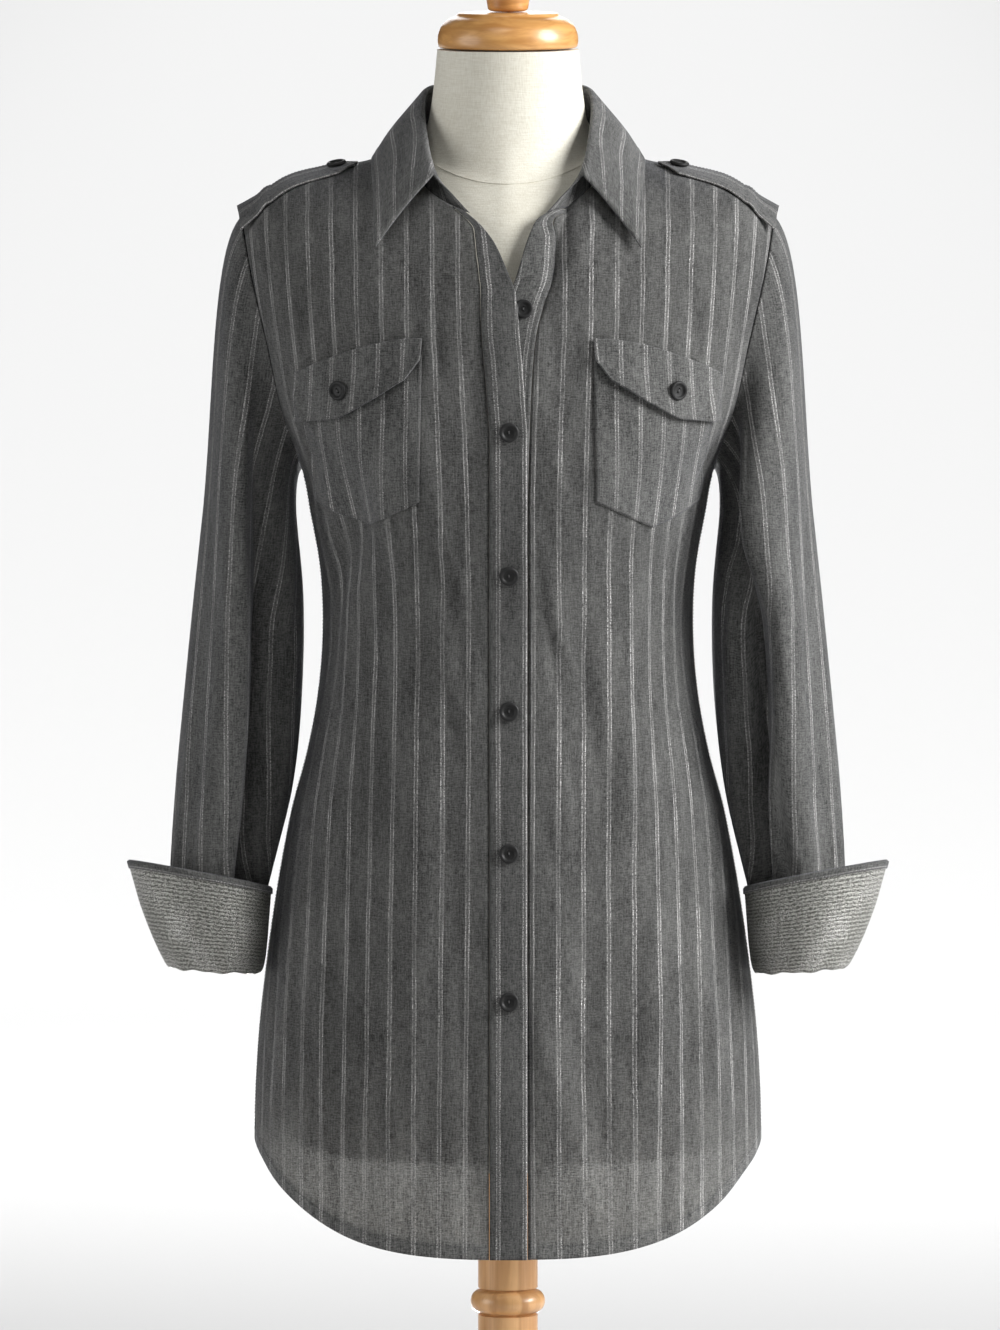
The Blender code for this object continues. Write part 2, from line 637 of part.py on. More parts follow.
def collar_lines(seam_points, share):
    """The stand's points from the neckline up, and the leaf's points from the stand over the fold and down."""
    fold = np.array([smooth(COLLAR, share, column) for column in (1, 2, 3)])
    edge = over_shoulder(smooth(COLLAR, share, 4), smooth(COLLAR, share, 5), LEAF_CLEARANCE)
    seam = along_points(seam_points, share)
    inward = np.array([-seam[0], -seam[1], 0.0]) / np.linalg.norm(seam[:2])
    seam = seam + inward * GAP + np.array([0, 0, GAP])
    rise = (fold - seam) / np.linalg.norm(fold - seam)
    join = fold - rise * FOLD_DEPTH
    stand = [mix(seam, join - rise * GAP, t) for t in (0.0, 0.5, 1.0)]
    across = edge - fold
    swell = np.cross(across, np.cross(rise, across))
    swell /= np.linalg.norm(swell)
    leaf = [join, fold, fold - inward * 0.0022 - np.array([0, 0, 0.0006])]
    for t in (0.22, 0.48, 0.74, 1.0):
        leaf.append(mix(leaf[2], edge, t) + swell * 0.0050 * math.sin(math.pi * t) * (1 - 0.3 * t))
    return stand, leaf


def make_collar(seam_points, collection, finish):
    corners = shares_of(seam_points)
    shares = sorted({round(share, 4) for share in corners + [(a + b) / 2 for a, b in zip(corners, corners[1:])]})
    shares = [share for i, share in enumerate(shares) if i == 0 or share - shares[i - 1] > 0.012]
    lines = [collar_lines(seam_points, share) for share in shares]
    both = [mirrored(pair, -1) for pair in reversed(lines[1:])] + lines
    towards_neck = lambda point: Vector((-point.x, -point.y, 0))  # noqa: E731
    cloth("collar_stand", [stand for stand, leaf in both], CLOTH, finish, collection, facing=towards_neck)
    cloth("collar_leaf", [leaf for stand, leaf in both], CLOTH, finish, collection)


# ------------------------------------------------------------------ pieces laid on the panels
def laid_grid(side, table, rows, lift, flare=0.0):
    """A piece on a front, from its table of columns. flare lifts its lower edge further."""
    grid = []
    for x_top, top, x_bottom, bottom in table:
        line = []
        for i in range(rows + 1):
            t = i / rows
            height = mix(top, bottom, t)
            angle = side * angle_at(mix(x_top, x_bottom, t), height)
            under = panel_lift(height, angle) if side < 0 else 0.0
            line.append(torso(angle, height, under + lift + flare * t * t))
        grid.append(line)
    return grid


def make_pockets(side, name, collection, finish):
    lift = CLOTH + LAID_GAP
    cloth(f"pocket_{name}", laid_grid(side, POCKET, 6, lift), CLOTH, finish, collection)
    flap_lift = lift + CLOTH + GAP
    cloth(f"pocket_flap_{name}", laid_grid(side, FLAP, 3, flap_lift, FLAP_FLARE), DOUBLE_CLOTH, finish, collection)


def strap_grid(side):
    """A shoulder strap: columns along the shoulder from its point to the armhole."""
    grid = []
    length = STRAP_END_X - STRAP_TIP_X
    for along in (0.0, STRAP_POINT / 2, STRAP_POINT, 0.032, 0.050, 0.068, length):
        half_width = STRAP_HALF_WIDTH * min(0.12 + 0.88 * along / STRAP_POINT, 1.0)
        x = STRAP_TIP_X + along
        past = max(x - STRAP_STIFF_X, 0.0)
        outwards = np.array([past, 0, -past * SHOULDER_SLOPE])
        across = [STRAP_Y + half_width * (i / 3 - 1) for i in range(7)]
        grid.append([over_shoulder(x - past, y, CLOTH + LAID_GAP) + outwards for y in across])
    return mirrored(grid, side)


def make_strap(side, name, collection, finish):
    up = lambda point: Vector((0, 0, 1))  # noqa: E731
    cloth(f"shoulder_strap_{name}", strap_grid(side), DOUBLE_CLOTH, finish, collection, facing=up)


# ------------------------------------------------------------------ buttons
BUTTON_PROFILE = [(0.0, 0.55), (0.52, 0.55), (0.66, 0.95), (0.84, 1.0), (1.0, 0.70), (0.94, 0.10), (0.0, 0.0)]


def make_button(name, place, axis, finish, collection):
    profile = [(radius * BUTTON_RADIUS, height * BUTTON_THICKNESS) for radius, height in BUTTON_PROFILE]
    made = turned(name, profile, 12, finish, collection)
    made.location = place
    made.rotation_mode = "QUATERNION"
    made.rotation_quaternion = Vector((0, 0, 1)).rotation_difference(Vector(axis))
    return made


def on_panel(x, height, lift):
    """Place and direction of a button that lies this far out from the torso."""
    angle = angle_at(x, height)
    return torso(angle, height, lift), outward(angle, height)


def make_buttons(collection, finish):
    for number, height in enumerate(BUTTON_HEIGHTS, 2):
        lift = open_lift(height) + DOUBLE_CLOTH + BUTTON_GAP
        make_button(f"button_{number}", *on_panel(BUTTON_X, height, lift), finish, collection)
    make_button("button_1", *on_panel(*OPEN_BUTTON, CLOTH + GAP), finish, collection)
    lift = 2 * CLOTH + LAID_GAP + GAP + FLAP_FLARE / 2 + DOUBLE_CLOTH + BUTTON_GAP / 2
    strap_lift = CLOTH + DOUBLE_CLOTH + LAID_GAP + GAP
    for side, name in ((-1, "right"), (1, "left")):
        x, height = FLAP_BUTTON
        place, axis = on_panel(side * x, height, lift)
        make_button(f"pocket_button_{name}", place, axis, finish, collection)
        place = over_shoulder(STRAP_BUTTON_X, STRAP_Y, strap_lift)
        axis = over_shoulder(STRAP_BUTTON_X, STRAP_Y, 1.0) - over_shoulder(STRAP_BUTTON_X, STRAP_Y)
        flip = np.array([side, 1, 1])
        make_button(f"strap_button_{name}", place * flip, axis * flip, finish, collection)


# ------------------------------------------------------------------ dress form and stand
def form_ridge_drop(x):
    """The form's shoulders lie just under the shirt's, and a little lower beside the neck."""
    return 0.0010 + 0.0045 * bump((abs(x) - NECK_JOIN_X) / 0.034)


def form_neck_angle():
    height = ridge_height(NECK_JOIN_X) - form_ridge_drop(NECK_JOIN_X)
    share = NECK_JOIN_X / smooth(FORM, height, 1)
    return math.degrees(math.asin(share ** (smooth(FORM, height, 4) / 2)))


def form_column(angle, neck_angle):
    """A column of the form from its lower edge to the ridge of its shoulders, or to its neck and up it."""
    in_front = abs(angle) <= 90
    away = abs(angle) if in_front else 180 - abs(angle)

    def point_at(height):
        x = surface(FORM, angle, height)[0]
        return surface(FORM, angle, height, form_ridge_drop(x))

    def below_ridge(height):
        x = surface(FORM, angle, height)[0]
        return height < ridge_height(x) - form_ridge_drop(x)

    top = solve(1.10, 1.26, below_ridge)
    turn = math.pi / 2 * min(away / neck_angle, 1.0)
    if away < neck_angle - 1e-6:
        side_top = ridge_height(NECK_JOIN_X) - form_ridge_drop(NECK_JOIN_X)
        top = mix(side_top, NECK_JOIN_HEIGHTS[0 if in_front else 1], math.cos(turn))
    heights = [mix(FORM_BOTTOM, ARMPIT_HEIGHT, i / 8) for i in range(8)]
    heights += [mix(ARMPIT_HEIGHT, top, (1 + math.cos(math.radians(t))) / 2) for t in range(180, -1, -20)]
    points = [point_at(height) for height in heights]
    if away <= neck_angle + 1e-6:
        for height, half_width, front, back in NECK:
            x = math.copysign(half_width * math.sin(turn), angle)
            y = -front * math.cos(turn) if in_front else back * math.cos(turn)
            points.append(np.array([x, y, height]))
    return points


def make_form(collection, finish):
    neck_angle = form_neck_angle()
    quarter = [neck_angle * i / 3 for i in range(4)] + [24, 34, 46, 60, 75, 90]
    half = quarter + [180 - angle for angle in reversed(quarter[:-1])]
    angles = half + [-angle for angle in reversed(half[1:-1])]
    shape = bmesh.new()
    columns = [[shape.verts.new(point) for point in form_column(angle, neck_angle)] for angle in angles]
    for a, b in zip(columns, columns[1:] + columns[:1]):
        for j in range(min(len(a), len(b)) - 1):
            shape.faces.new((a[j], b[j], b[j + 1], a[j + 1]))
    bmesh.ops.remove_doubles(shape, verts=shape.verts, dist=0.0002)
    bmesh.ops.holes_fill(shape, edges=[edge for edge in shape.edges if edge.is_boundary])
    bmesh.ops.recalc_face_normals(shape, faces=shape.faces)
    mesh = bpy.data.meshes.new("form_body")
    shape.to_mesh(mesh)
    shape.free()
    add_object("form_body", mesh, finish, collection)


def arc(radius, height, half_height, sink, start, end, steps):
    """Part of a bulge on a turned piece: radius and height along an ellipse, from the top down."""
    turns = [math.radians(mix(start, end, i / steps)) for i in range(steps + 1)]
    return [(radius - sink + sink * math.cos(t), height + half_height * math.sin(t)) for t in turns]


def make_stand(collection, finish):
    top, foot = FORM_BOTTOM - GAP, BASE_THICKNESS + GAP
    bead = arc(BEAD_RADIUS, BEAD_HEIGHT, 0.0085, 0.0075, 85, -85, 6)
    collar = arc(BEAD_RADIUS + 0.004, foot + 0.010, 0.010, 0.009, 85, -90, 4)
    pole = [(0.0, top), (POLE_RADIUS, top), (POLE_RADIUS, BEAD_HEIGHT + 0.0105), (0.0205, BEAD_HEIGHT + 0.0100)]
    pole += bead + [(0.0205, BEAD_HEIGHT - 0.0100), (POLE_RADIUS, BEAD_HEIGHT - 0.0105)]
    pole += [(POLE_RADIUS, foot + 0.024)] + collar + [(0.0, foot)]
    turned("stand_pole", pole, 22, finish, collection)
    edge = arc(BASE_RADIUS, 0.018, 0.010, 0.012, 85, 0, 4)
    base = [(0.0, BASE_THICKNESS), (0.120, BASE_THICKNESS)] + edge
    base += [(BASE_RADIUS, 0.003), (BASE_RADIUS - 0.003, 0.0), (0.0, 0.0)]
    turned("stand_base", base, 36, finish, collection)
    turned("neck_cap", CAP_PROFILE, 24, finish, collection)
    turned("neck_knob", KNOB_PROFILE, 18, finish, collection)


# ------------------------------------------------------------------ the whole
def main():
    collection = fresh_collection("striped_shirt")
    shirting = material("striped_shirting", (0.085, 0.085, 0.09), 0.8)
    lame = material("silver_lame", (0.32, 0.31, 0.29), 0.45, 0.5)
    horn = material("dark_button", (0.02, 0.02, 0.022), 0.35)
    linen = material("cream_linen", (0.74, 0.70, 0.62), 0.9)
    wood = material("honey_wood", (0.55, 0.29, 0.12), 0.35)
    neck_corners = make_body(collection, shirting)
    for side, name in ((-1, "right"), (1, "left")):
        make_sleeve(side, name, collection, shirting, lame)
        make_pockets(side, name, collection, shirting)
        make_strap(side, name, collection, shirting)
    make_collar(neck_corners, collection, shirting)
    make_buttons(collection, horn)
    make_form(collection, linen)
    make_stand(collection, wood)


main()
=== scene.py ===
# %% [markdown]
# # A long striped shirt on a dress form
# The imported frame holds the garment's pieces as plain solids at their real size, with the dress form and
# its stand. This lesson dresses that frame. Each cloth piece becomes a thin shell on its solid's form, with
# creases, hems and stitches, and each surface gets a finish made of shader nodes. Metres throughout, +Z up,
# the shirt's front faces -Y.

# %% Load the frame
import math

import bmesh
import bpy
import numpy as np
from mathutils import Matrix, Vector


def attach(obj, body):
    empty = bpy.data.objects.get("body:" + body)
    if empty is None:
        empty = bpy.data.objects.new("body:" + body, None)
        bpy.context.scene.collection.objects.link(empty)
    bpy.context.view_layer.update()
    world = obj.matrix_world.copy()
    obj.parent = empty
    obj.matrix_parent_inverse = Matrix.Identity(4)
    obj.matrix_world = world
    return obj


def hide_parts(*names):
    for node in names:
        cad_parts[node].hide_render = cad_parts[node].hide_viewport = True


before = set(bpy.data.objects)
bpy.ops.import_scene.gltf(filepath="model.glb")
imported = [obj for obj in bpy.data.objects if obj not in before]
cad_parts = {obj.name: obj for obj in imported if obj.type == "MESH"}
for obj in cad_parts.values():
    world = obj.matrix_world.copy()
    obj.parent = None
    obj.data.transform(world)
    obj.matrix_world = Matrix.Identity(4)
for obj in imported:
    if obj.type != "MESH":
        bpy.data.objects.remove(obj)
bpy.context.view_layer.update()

# %% [markdown]
# ## The camera
# The photograph was taken from far off with a long lens, a little above the middle of the shirt. A long
# lens keeps the sleeves and the hem free of perspective, so the camera stands ten metres away and its lens
# is worked out from the height of what it sees.

# %% Camera
VIEW_DISTANCE = 10.0
VIEW_ELEVATION = math.radians(5)
VIEW_HEIGHT = 1.0108  # metres seen from the top of the frame to the bottom
VIEW_TARGET = Vector((-0.006, 0.0, 0.82))
SENSOR = 36.0


def add_object(name, data):
    """A new object in the scene, with its origin at the frame's own."""
    made = bpy.data.objects.new(name, data)
    bpy.context.scene.collection.objects.link(made)
    return made


camera = add_object("camera", bpy.data.cameras.new("camera"))
camera.data.sensor_width = SENSOR
camera.data.lens = SENSOR * VIEW_DISTANCE / VIEW_HEIGHT
towards = Vector((0.0, -math.cos(VIEW_ELEVATION), math.sin(VIEW_ELEVATION)))
camera.location = VIEW_TARGET + towards * VIEW_DISTANCE
camera.rotation_euler = (math.pi / 2 - VIEW_ELEVATION, 0.0, 0.0)
bpy.context.scene.camera = camera
print("lens", round(camera.data.lens), "mm")

# %% [markdown]
# ## Smooth curves through short tables
# A garment is cut from a few measurements, so its form comes from short tables too. A cubic curve through
# the rows fills in what lies between. Everything below works on whole arrays of points at once, which keeps
# a fine mesh quick.


# %% Curves through tables
def along_line(at, length, line):
    """Points of a line at these lengths along it."""
    return np.stack([np.interp(at, length, line[:, k]) for k in range(3)], axis=-1)


def hermite(start, leave, end, arrive, t):
    """A cubic curve from start to end, which leaves and arrives with these slopes."""
    return (
        start * (1 + 2 * t) * (1 - t) ** 2 + leave * t * (1 - t) ** 2
        + end * (3 - 2 * t) * t**2 - arrive * (1 - t) * t**2
    )  # fmt: skip


def along_table(table, at, column):
    """The table's column at each of these places, along a smooth curve through its rows."""
    rows = np.array(table, float)
    keys, values = rows[:, 0], rows[:, column]
    at = np.clip(at, keys[0], keys[-1])
    row = np.clip(np.searchsorted(keys, at, "right") - 1, 0, len(keys) - 2)
    every = np.arange(len(keys))
    before, after = np.maximum(every - 1, 0), np.minimum(every + 1, len(keys) - 1)
    slopes = (values[after] - values[before]) / (keys[after] - keys[before])
    step = keys[row + 1] - keys[row]
    t = (at - keys[row]) / step
    return hermite(values[row], slopes[row] * step, values[row + 1], slopes[row + 1] * step, t)


# %% Shares and steps
def mix(a, b, t):
    return a + (b - a) * t


def ease(low, high, at):
    """0 below low and 1 above high, with a smooth rise between."""
    t = np.clip((at - low) / (high - low), 0.0, 1.0)
    return t * t * (3 - 2 * t)


def hump(t):
    """A smooth hump: 1 at 0, and 0 from 1 on."""
    return np.cos(np.minimum(np.abs(t), 1.0) * math.pi / 2) ** 2


def from_middle(turn, middle):
    """Signed turn from middle, from -180 to 180 degrees."""
    return (turn - middle + 180) % 360 - 180


def circle(turn):
    """Cosine and sine of a turn in degrees."""
    return np.cos(np.radians(turn)), np.sin(np.radians(turn))


def solve(low, high, is_below):
    """The place between low and high, for each point, where is_below stops being true."""
    for _ in range(26):
        middle = (low + high) / 2
        below = is_below(middle)
        low, high = np.where(below, middle, low), np.where(below, high, middle)
    return (low + high) / 2


# %% Vectors and lengths
def unit(vectors):
    return vectors / np.maximum(np.linalg.norm(vectors, axis=-1, keepdims=True), 1e-12)


def lengths_along(points, axis):
    """Running length along one axis of an array of points, from 0."""
    steps = np.linalg.norm(np.diff(points, axis=axis), axis=-1)
    return np.insert(np.cumsum(steps, axis=axis), 0, 0.0, axis=axis)


# %% [markdown]
# ## The torso's form
# The shirt's body is one surface. A table of level sections gives its girth, each section being a rounded
# box between an ellipse and a square, and above the chest the sections lean back to the sloping ridge of
# the shoulders. An angle goes round it: 0 at the middle of the front, 90 at the wearer's left side, 180 at
# the middle of the back.

# %% Torso tables
# height, half width, depth in front of the middle, depth behind it, squareness
TORSO = [
    (0.360, 0.1895, 0.147, 0.151, 2.1), (0.470, 0.1912, 0.145, 0.153, 2.1),
    (0.526, 0.1889, 0.143, 0.152, 2.1), (0.572, 0.1846, 0.141, 0.150, 2.1),
    (0.640, 0.1755, 0.136, 0.144, 2.1), (0.709, 0.1630, 0.130, 0.132, 2.1),
    (0.755, 0.1508, 0.126, 0.122, 2.1), (0.801, 0.1424, 0.123, 0.113, 2.1),
    (0.847, 0.1390, 0.122, 0.107, 2.1), (0.893, 0.1408, 0.128, 0.106, 2.15),
    (0.938, 0.1485, 0.138, 0.108, 2.2), (0.969, 0.1548, 0.142, 0.111, 2.25),
    (1.020, 0.1770, 0.143, 0.116, 2.3), (1.070, 0.1905, 0.138, 0.118, 2.3),
    (1.120, 0.2025, 0.131, 0.117, 2.3), (1.170, 0.2110, 0.127, 0.115, 2.3),
    (1.260, 0.2150, 0.125, 0.112, 2.3),
]  # fmt: skip
FORM = [
    (0.445, 0.1560, 0.112, 0.120, 2.1), (0.520, 0.1620, 0.115, 0.126, 2.1),
    (0.600, 0.1580, 0.114, 0.122, 2.1), (0.680, 0.1450, 0.110, 0.112, 2.1),
    (0.760, 0.1280, 0.106, 0.099, 2.1), (0.840, 0.1180, 0.104, 0.090, 2.1),
    (0.900, 0.1220, 0.112, 0.092, 2.1), (0.969, 0.1400, 0.130, 0.100, 2.2),
    (1.020, 0.1560, 0.134, 0.107, 2.3), (1.070, 0.1720, 0.130, 0.110, 2.3),
    (1.120, 0.1860, 0.123, 0.110, 2.3), (1.170, 0.1950, 0.119, 0.108, 2.3),
    (1.260, 0.1990, 0.117, 0.105, 2.3),
]  # fmt: skip
ARMPIT_HEIGHT = 0.969
TIP_X, TIP_HEIGHT = 0.198, 1.162  # where shoulder seam and armhole meet
SHOULDER_SLOPE = 0.42
RIDGE_Y = 0.008
# distance from the middle, and how far the shoulder is padded above the straight slope there
SHOULDER_PAD = [
    (0.075, 0.0), (0.105, 0.0015), (0.134, 0.0085), (0.155, 0.0125), (0.172, 0.0125), (0.188, 0.0080),
    (0.198, 0.0010), (0.230, 0.0),
]  # fmt: skip
FRONT_ROLL, BACK_ROLL, ROLL_POWER = 1.020, 1.050, 2.5


# %% Torso surface
def ridge_height(x):
    return TIP_HEIGHT + SHOULDER_SLOPE * (TIP_X - np.abs(x)) + along_table(SHOULDER_PAD, np.abs(x), 1)


def level_section(angle, height, table=TORSO):
    """x and y of a level section, before the shoulders lean back."""
    power = 2 / along_table(table, height, 4)
    ahead, across = circle(angle)
    depth = np.where(ahead >= 0, along_table(table, height, 2), along_table(table, height, 3))
    x = along_table(table, height, 1) * np.sign(across) * np.abs(across) ** power
    return x, -depth * np.sign(ahead) * np.abs(ahead) ** power


def surface(angle, height, table=TORSO, drop=0.0):
    """Points of a torso at these angles and heights."""
    angle, height = np.broadcast_arrays(np.asarray(angle, float), np.asarray(height, float))
    x, y = level_section(angle, height, table)
    start = np.where(np.cos(np.radians(angle)) >= 0, FRONT_ROLL, BACK_ROLL)
    share = np.clip((height - start) / (ridge_height(x) - drop - start), 0.0, 1.0)
    lean = np.sqrt(np.maximum(1 - share**ROLL_POWER, 0.0))
    return np.stack([x, np.where(height > start, mix(RIDGE_Y, y, lean), y), height], axis=-1)


def outward(angle, height, turn=0.4, rise=0.0015):
    """The direction straight out of the torso, from steps of this turn and rise."""
    along = surface(angle + turn, height) - surface(angle - turn, height)
    up = surface(angle, height + rise) - surface(angle, height - rise)
    return unit(np.cross(along, up))


def angle_at(x, height):
    """The angle of the front point that has this x."""
    share = np.minimum(np.abs(x) / along_table(TORSO, height, 1), 1.0)
    return np.sign(x) * np.degrees(np.arcsin(share ** (along_table(TORSO, height, 4) / 2)))


# %% Lengths round the torso
# Length round a level section from the middle of the front, on a fine grid of angles and heights.
GIRTH_ANGLES = np.linspace(0.0, 180.0, 361)
GIRTH_HEIGHTS = np.linspace(TORSO[0][0], TORSO[-1][0], 91)
GIRTHS = lengths_along(np.stack(level_section(GIRTH_ANGLES[None, :], GIRTH_HEIGHTS[:, None]), axis=-1), 1)


def around(angle, height):
    """Signed length round the body from the middle of the front."""
    row = np.interp(height, GIRTH_HEIGHTS, np.arange(len(GIRTH_HEIGHTS)))
    column = np.interp(np.abs(angle), GIRTH_ANGLES, np.arange(len(GIRTH_ANGLES)))
    i = np.minimum(row.astype(int), len(GIRTH_HEIGHTS) - 2)
    j = np.minimum(column.astype(int), len(GIRTH_ANGLES) - 2)
    a, b = row - i, column - j
    low = mix(GIRTHS[i, j], GIRTHS[i, j + 1], b)
    return np.sign(angle) * mix(low, mix(GIRTHS[i + 1, j], GIRTHS[i + 1, j + 1], b), a)


print("girth at the chest", round(2 * float(around(np.array(180.0), np.array(ARMPIT_HEIGHT))), 3), "m")

# %% [markdown]
# ## Folds and creases
# Cloth that hangs on a form has a few large folds and many small creases. The large ones are the same as in
# the solids. Each small one is a soft trough or ridge drawn as a line from one place on the panel to another,
# so they can be uneven in length, depth and spacing, as they are on the real shirt: pulled towards the
# buttons, fanning out of the armhole, and long and straight in the skirt. A simulation was not used here,
# because a shirt that is buttoned on a form keeps quite still, and drawn creases go exactly where the
# photograph has them.

# %% Fold tables
# angle, lowest height, highest height, depth, half width in degrees, lean in degrees from bottom to top
BODY_FOLDS = [
    (-26, 0.56, 0.96, 0.0024, 11, 6), (-44, 0.38, 0.78, -0.0026, 12, 4),
    (22, 0.42, 0.92, -0.0024, 10, -3), (40, 0.38, 0.90, 0.0028, 12, -5), (-64, 0.38, 0.76, 0.0022, 12, 4),
    (66, 0.38, 0.74, -0.0024, 12, -6), (116, 0.38, 0.84, 0.0036, 13, 8),
    (143, 0.40, 0.98, -0.0038, 13, 5), (-118, 0.38, 0.86, 0.0032, 13, -8),
    (-148, 0.42, 0.96, -0.0038, 13, -5), (176, 0.38, 1.02, 0.0040, 13, 2),
]  # fmt: skip
# Small creases: length round from the middle of the front (back) and height of both ends, depth, half width.
RIGHT_CREASES = [
    (-0.066, 1.160, -0.060, 0.860, 0.0019, 0.019), (-0.031, 1.150, -0.030, 0.880, -0.0016, 0.013),
    (-0.058, 0.985, -0.024, 0.845, 0.0022, 0.010), (-0.066, 0.965, -0.040, 0.830, -0.0016, 0.009),
    (-0.048, 0.930, -0.032, 0.740, 0.0018, 0.012), (-0.074, 0.850, -0.066, 0.400, 0.0021, 0.019),
    (-0.032, 0.800, -0.036, 0.420, -0.0020, 0.014), (-0.134, 1.010, -0.150, 0.850, -0.0058, 0.036),
    (-0.086, 1.030, -0.076, 0.850, 0.0040, 0.028), (-0.034, 0.880, -0.022, 0.760, 0.0016, 0.007),
    (-0.045, 0.850, -0.030, 0.730, -0.0016, 0.008), (-0.070, 1.150, -0.056, 1.000, 0.0016, 0.010),
    (-0.052, 1.130, -0.044, 1.010, -0.0014, 0.007), (-0.088, 0.930, -0.070, 0.700, 0.0016, 0.012),
    (-0.112, 0.920, -0.095, 0.760, -0.0014, 0.011), (-0.030, 0.700, -0.024, 0.560, -0.0016, 0.007),
    (-0.042, 0.720, -0.040, 0.470, 0.0016, 0.009), (-0.064, 0.640, -0.060, 0.420, -0.0014, 0.010),
    (-0.085, 0.600, -0.088, 0.400, 0.0013, 0.011), (-0.110, 0.640, -0.118, 0.430, -0.0014, 0.012),
    (-0.140, 0.680, -0.152, 0.460, 0.0014, 0.012), (-0.165, 0.760, -0.185, 0.480, -0.0014, 0.013),
    (-0.180, 1.060, -0.150, 0.985, 0.0018, 0.008), (-0.196, 1.020, -0.160, 0.950, -0.0016, 0.008),
    (-0.205, 0.990, -0.178, 0.900, 0.0014, 0.008), (-0.150, 0.930, -0.165, 0.800, -0.0014, 0.010),
    (-0.128, 0.900, -0.140, 0.740, 0.0012, 0.010), (-0.036, 0.500, -0.026, 0.400, -0.0014, 0.006),
    (-0.100, 1.190, -0.098, 1.120, 0.0008, 0.010), (-0.135, 1.170, -0.130, 1.100, -0.0008, 0.010),
    (-0.026, 0.640, -0.050, 0.560, 0.0010, 0.006), (-0.160, 0.590, -0.140, 0.420, 0.0012, 0.012),
    (-0.200, 0.620, -0.212, 0.470, -0.0012, 0.012),
]  # fmt: skip
LEFT_CREASES = [
    (0.066, 1.226, 0.022, 1.080, -0.0048, 0.0085), (0.078, 1.215, 0.034, 1.090, 0.0016, 0.008),
    (0.020, 1.130, 0.040, 1.060, -0.0012, 0.006), (0.018, 1.085, 0.034, 1.035, 0.0014, 0.006),
    (0.026, 1.050, 0.046, 1.010, -0.0012, 0.006), (0.024, 1.010, 0.048, 0.930, 0.0014, 0.007),
    (0.022, 0.985, 0.040, 0.890, -0.0014, 0.006), (0.048, 1.180, 0.050, 1.080, 0.0012, 0.009),
    (0.030, 0.910, 0.055, 0.800, 0.0016, 0.008), (0.024, 0.880, 0.040, 0.790, -0.0014, 0.006),
    (0.060, 0.900, 0.072, 0.700, -0.0016, 0.012), (0.028, 0.790, 0.052, 0.690, 0.0014, 0.007),
    (0.024, 0.740, 0.046, 0.640, -0.0012, 0.007), (0.080, 0.860, 0.092, 0.640, 0.0014, 0.012),
    (0.022, 0.600, 0.044, 0.470, 0.0022, 0.009), (0.034, 0.610, 0.062, 0.460, -0.0018, 0.009),
    (0.064, 0.680, 0.072, 0.390, -0.0023, 0.017), (0.100, 0.680, 0.104, 0.390, 0.0022, 0.018),
    (0.0185, 0.640, 0.0180, 0.370, -0.0018, 0.0055), (0.130, 0.680, 0.146, 0.450, -0.0014, 0.012),
    (0.160, 0.720, 0.176, 0.470, 0.0013, 0.012), (0.192, 0.700, 0.206, 0.480, -0.0013, 0.012),
    (0.182, 1.060, 0.152, 0.985, 0.0018, 0.008), (0.196, 1.020, 0.162, 0.945, -0.0016, 0.008),
    (0.206, 0.985, 0.180, 0.890, 0.0014, 0.008), (0.112, 0.930, 0.120, 0.760, -0.0012, 0.011),
    (0.145, 0.920, 0.150, 0.780, 0.0012, 0.010), (0.110, 1.180, 0.104, 1.100, 0.0008, 0.010),
    (0.142, 1.165, 0.138, 1.090, -0.0009, 0.009), (0.026, 0.450, 0.040, 0.392, -0.0012, 0.007),
]  # fmt: skip
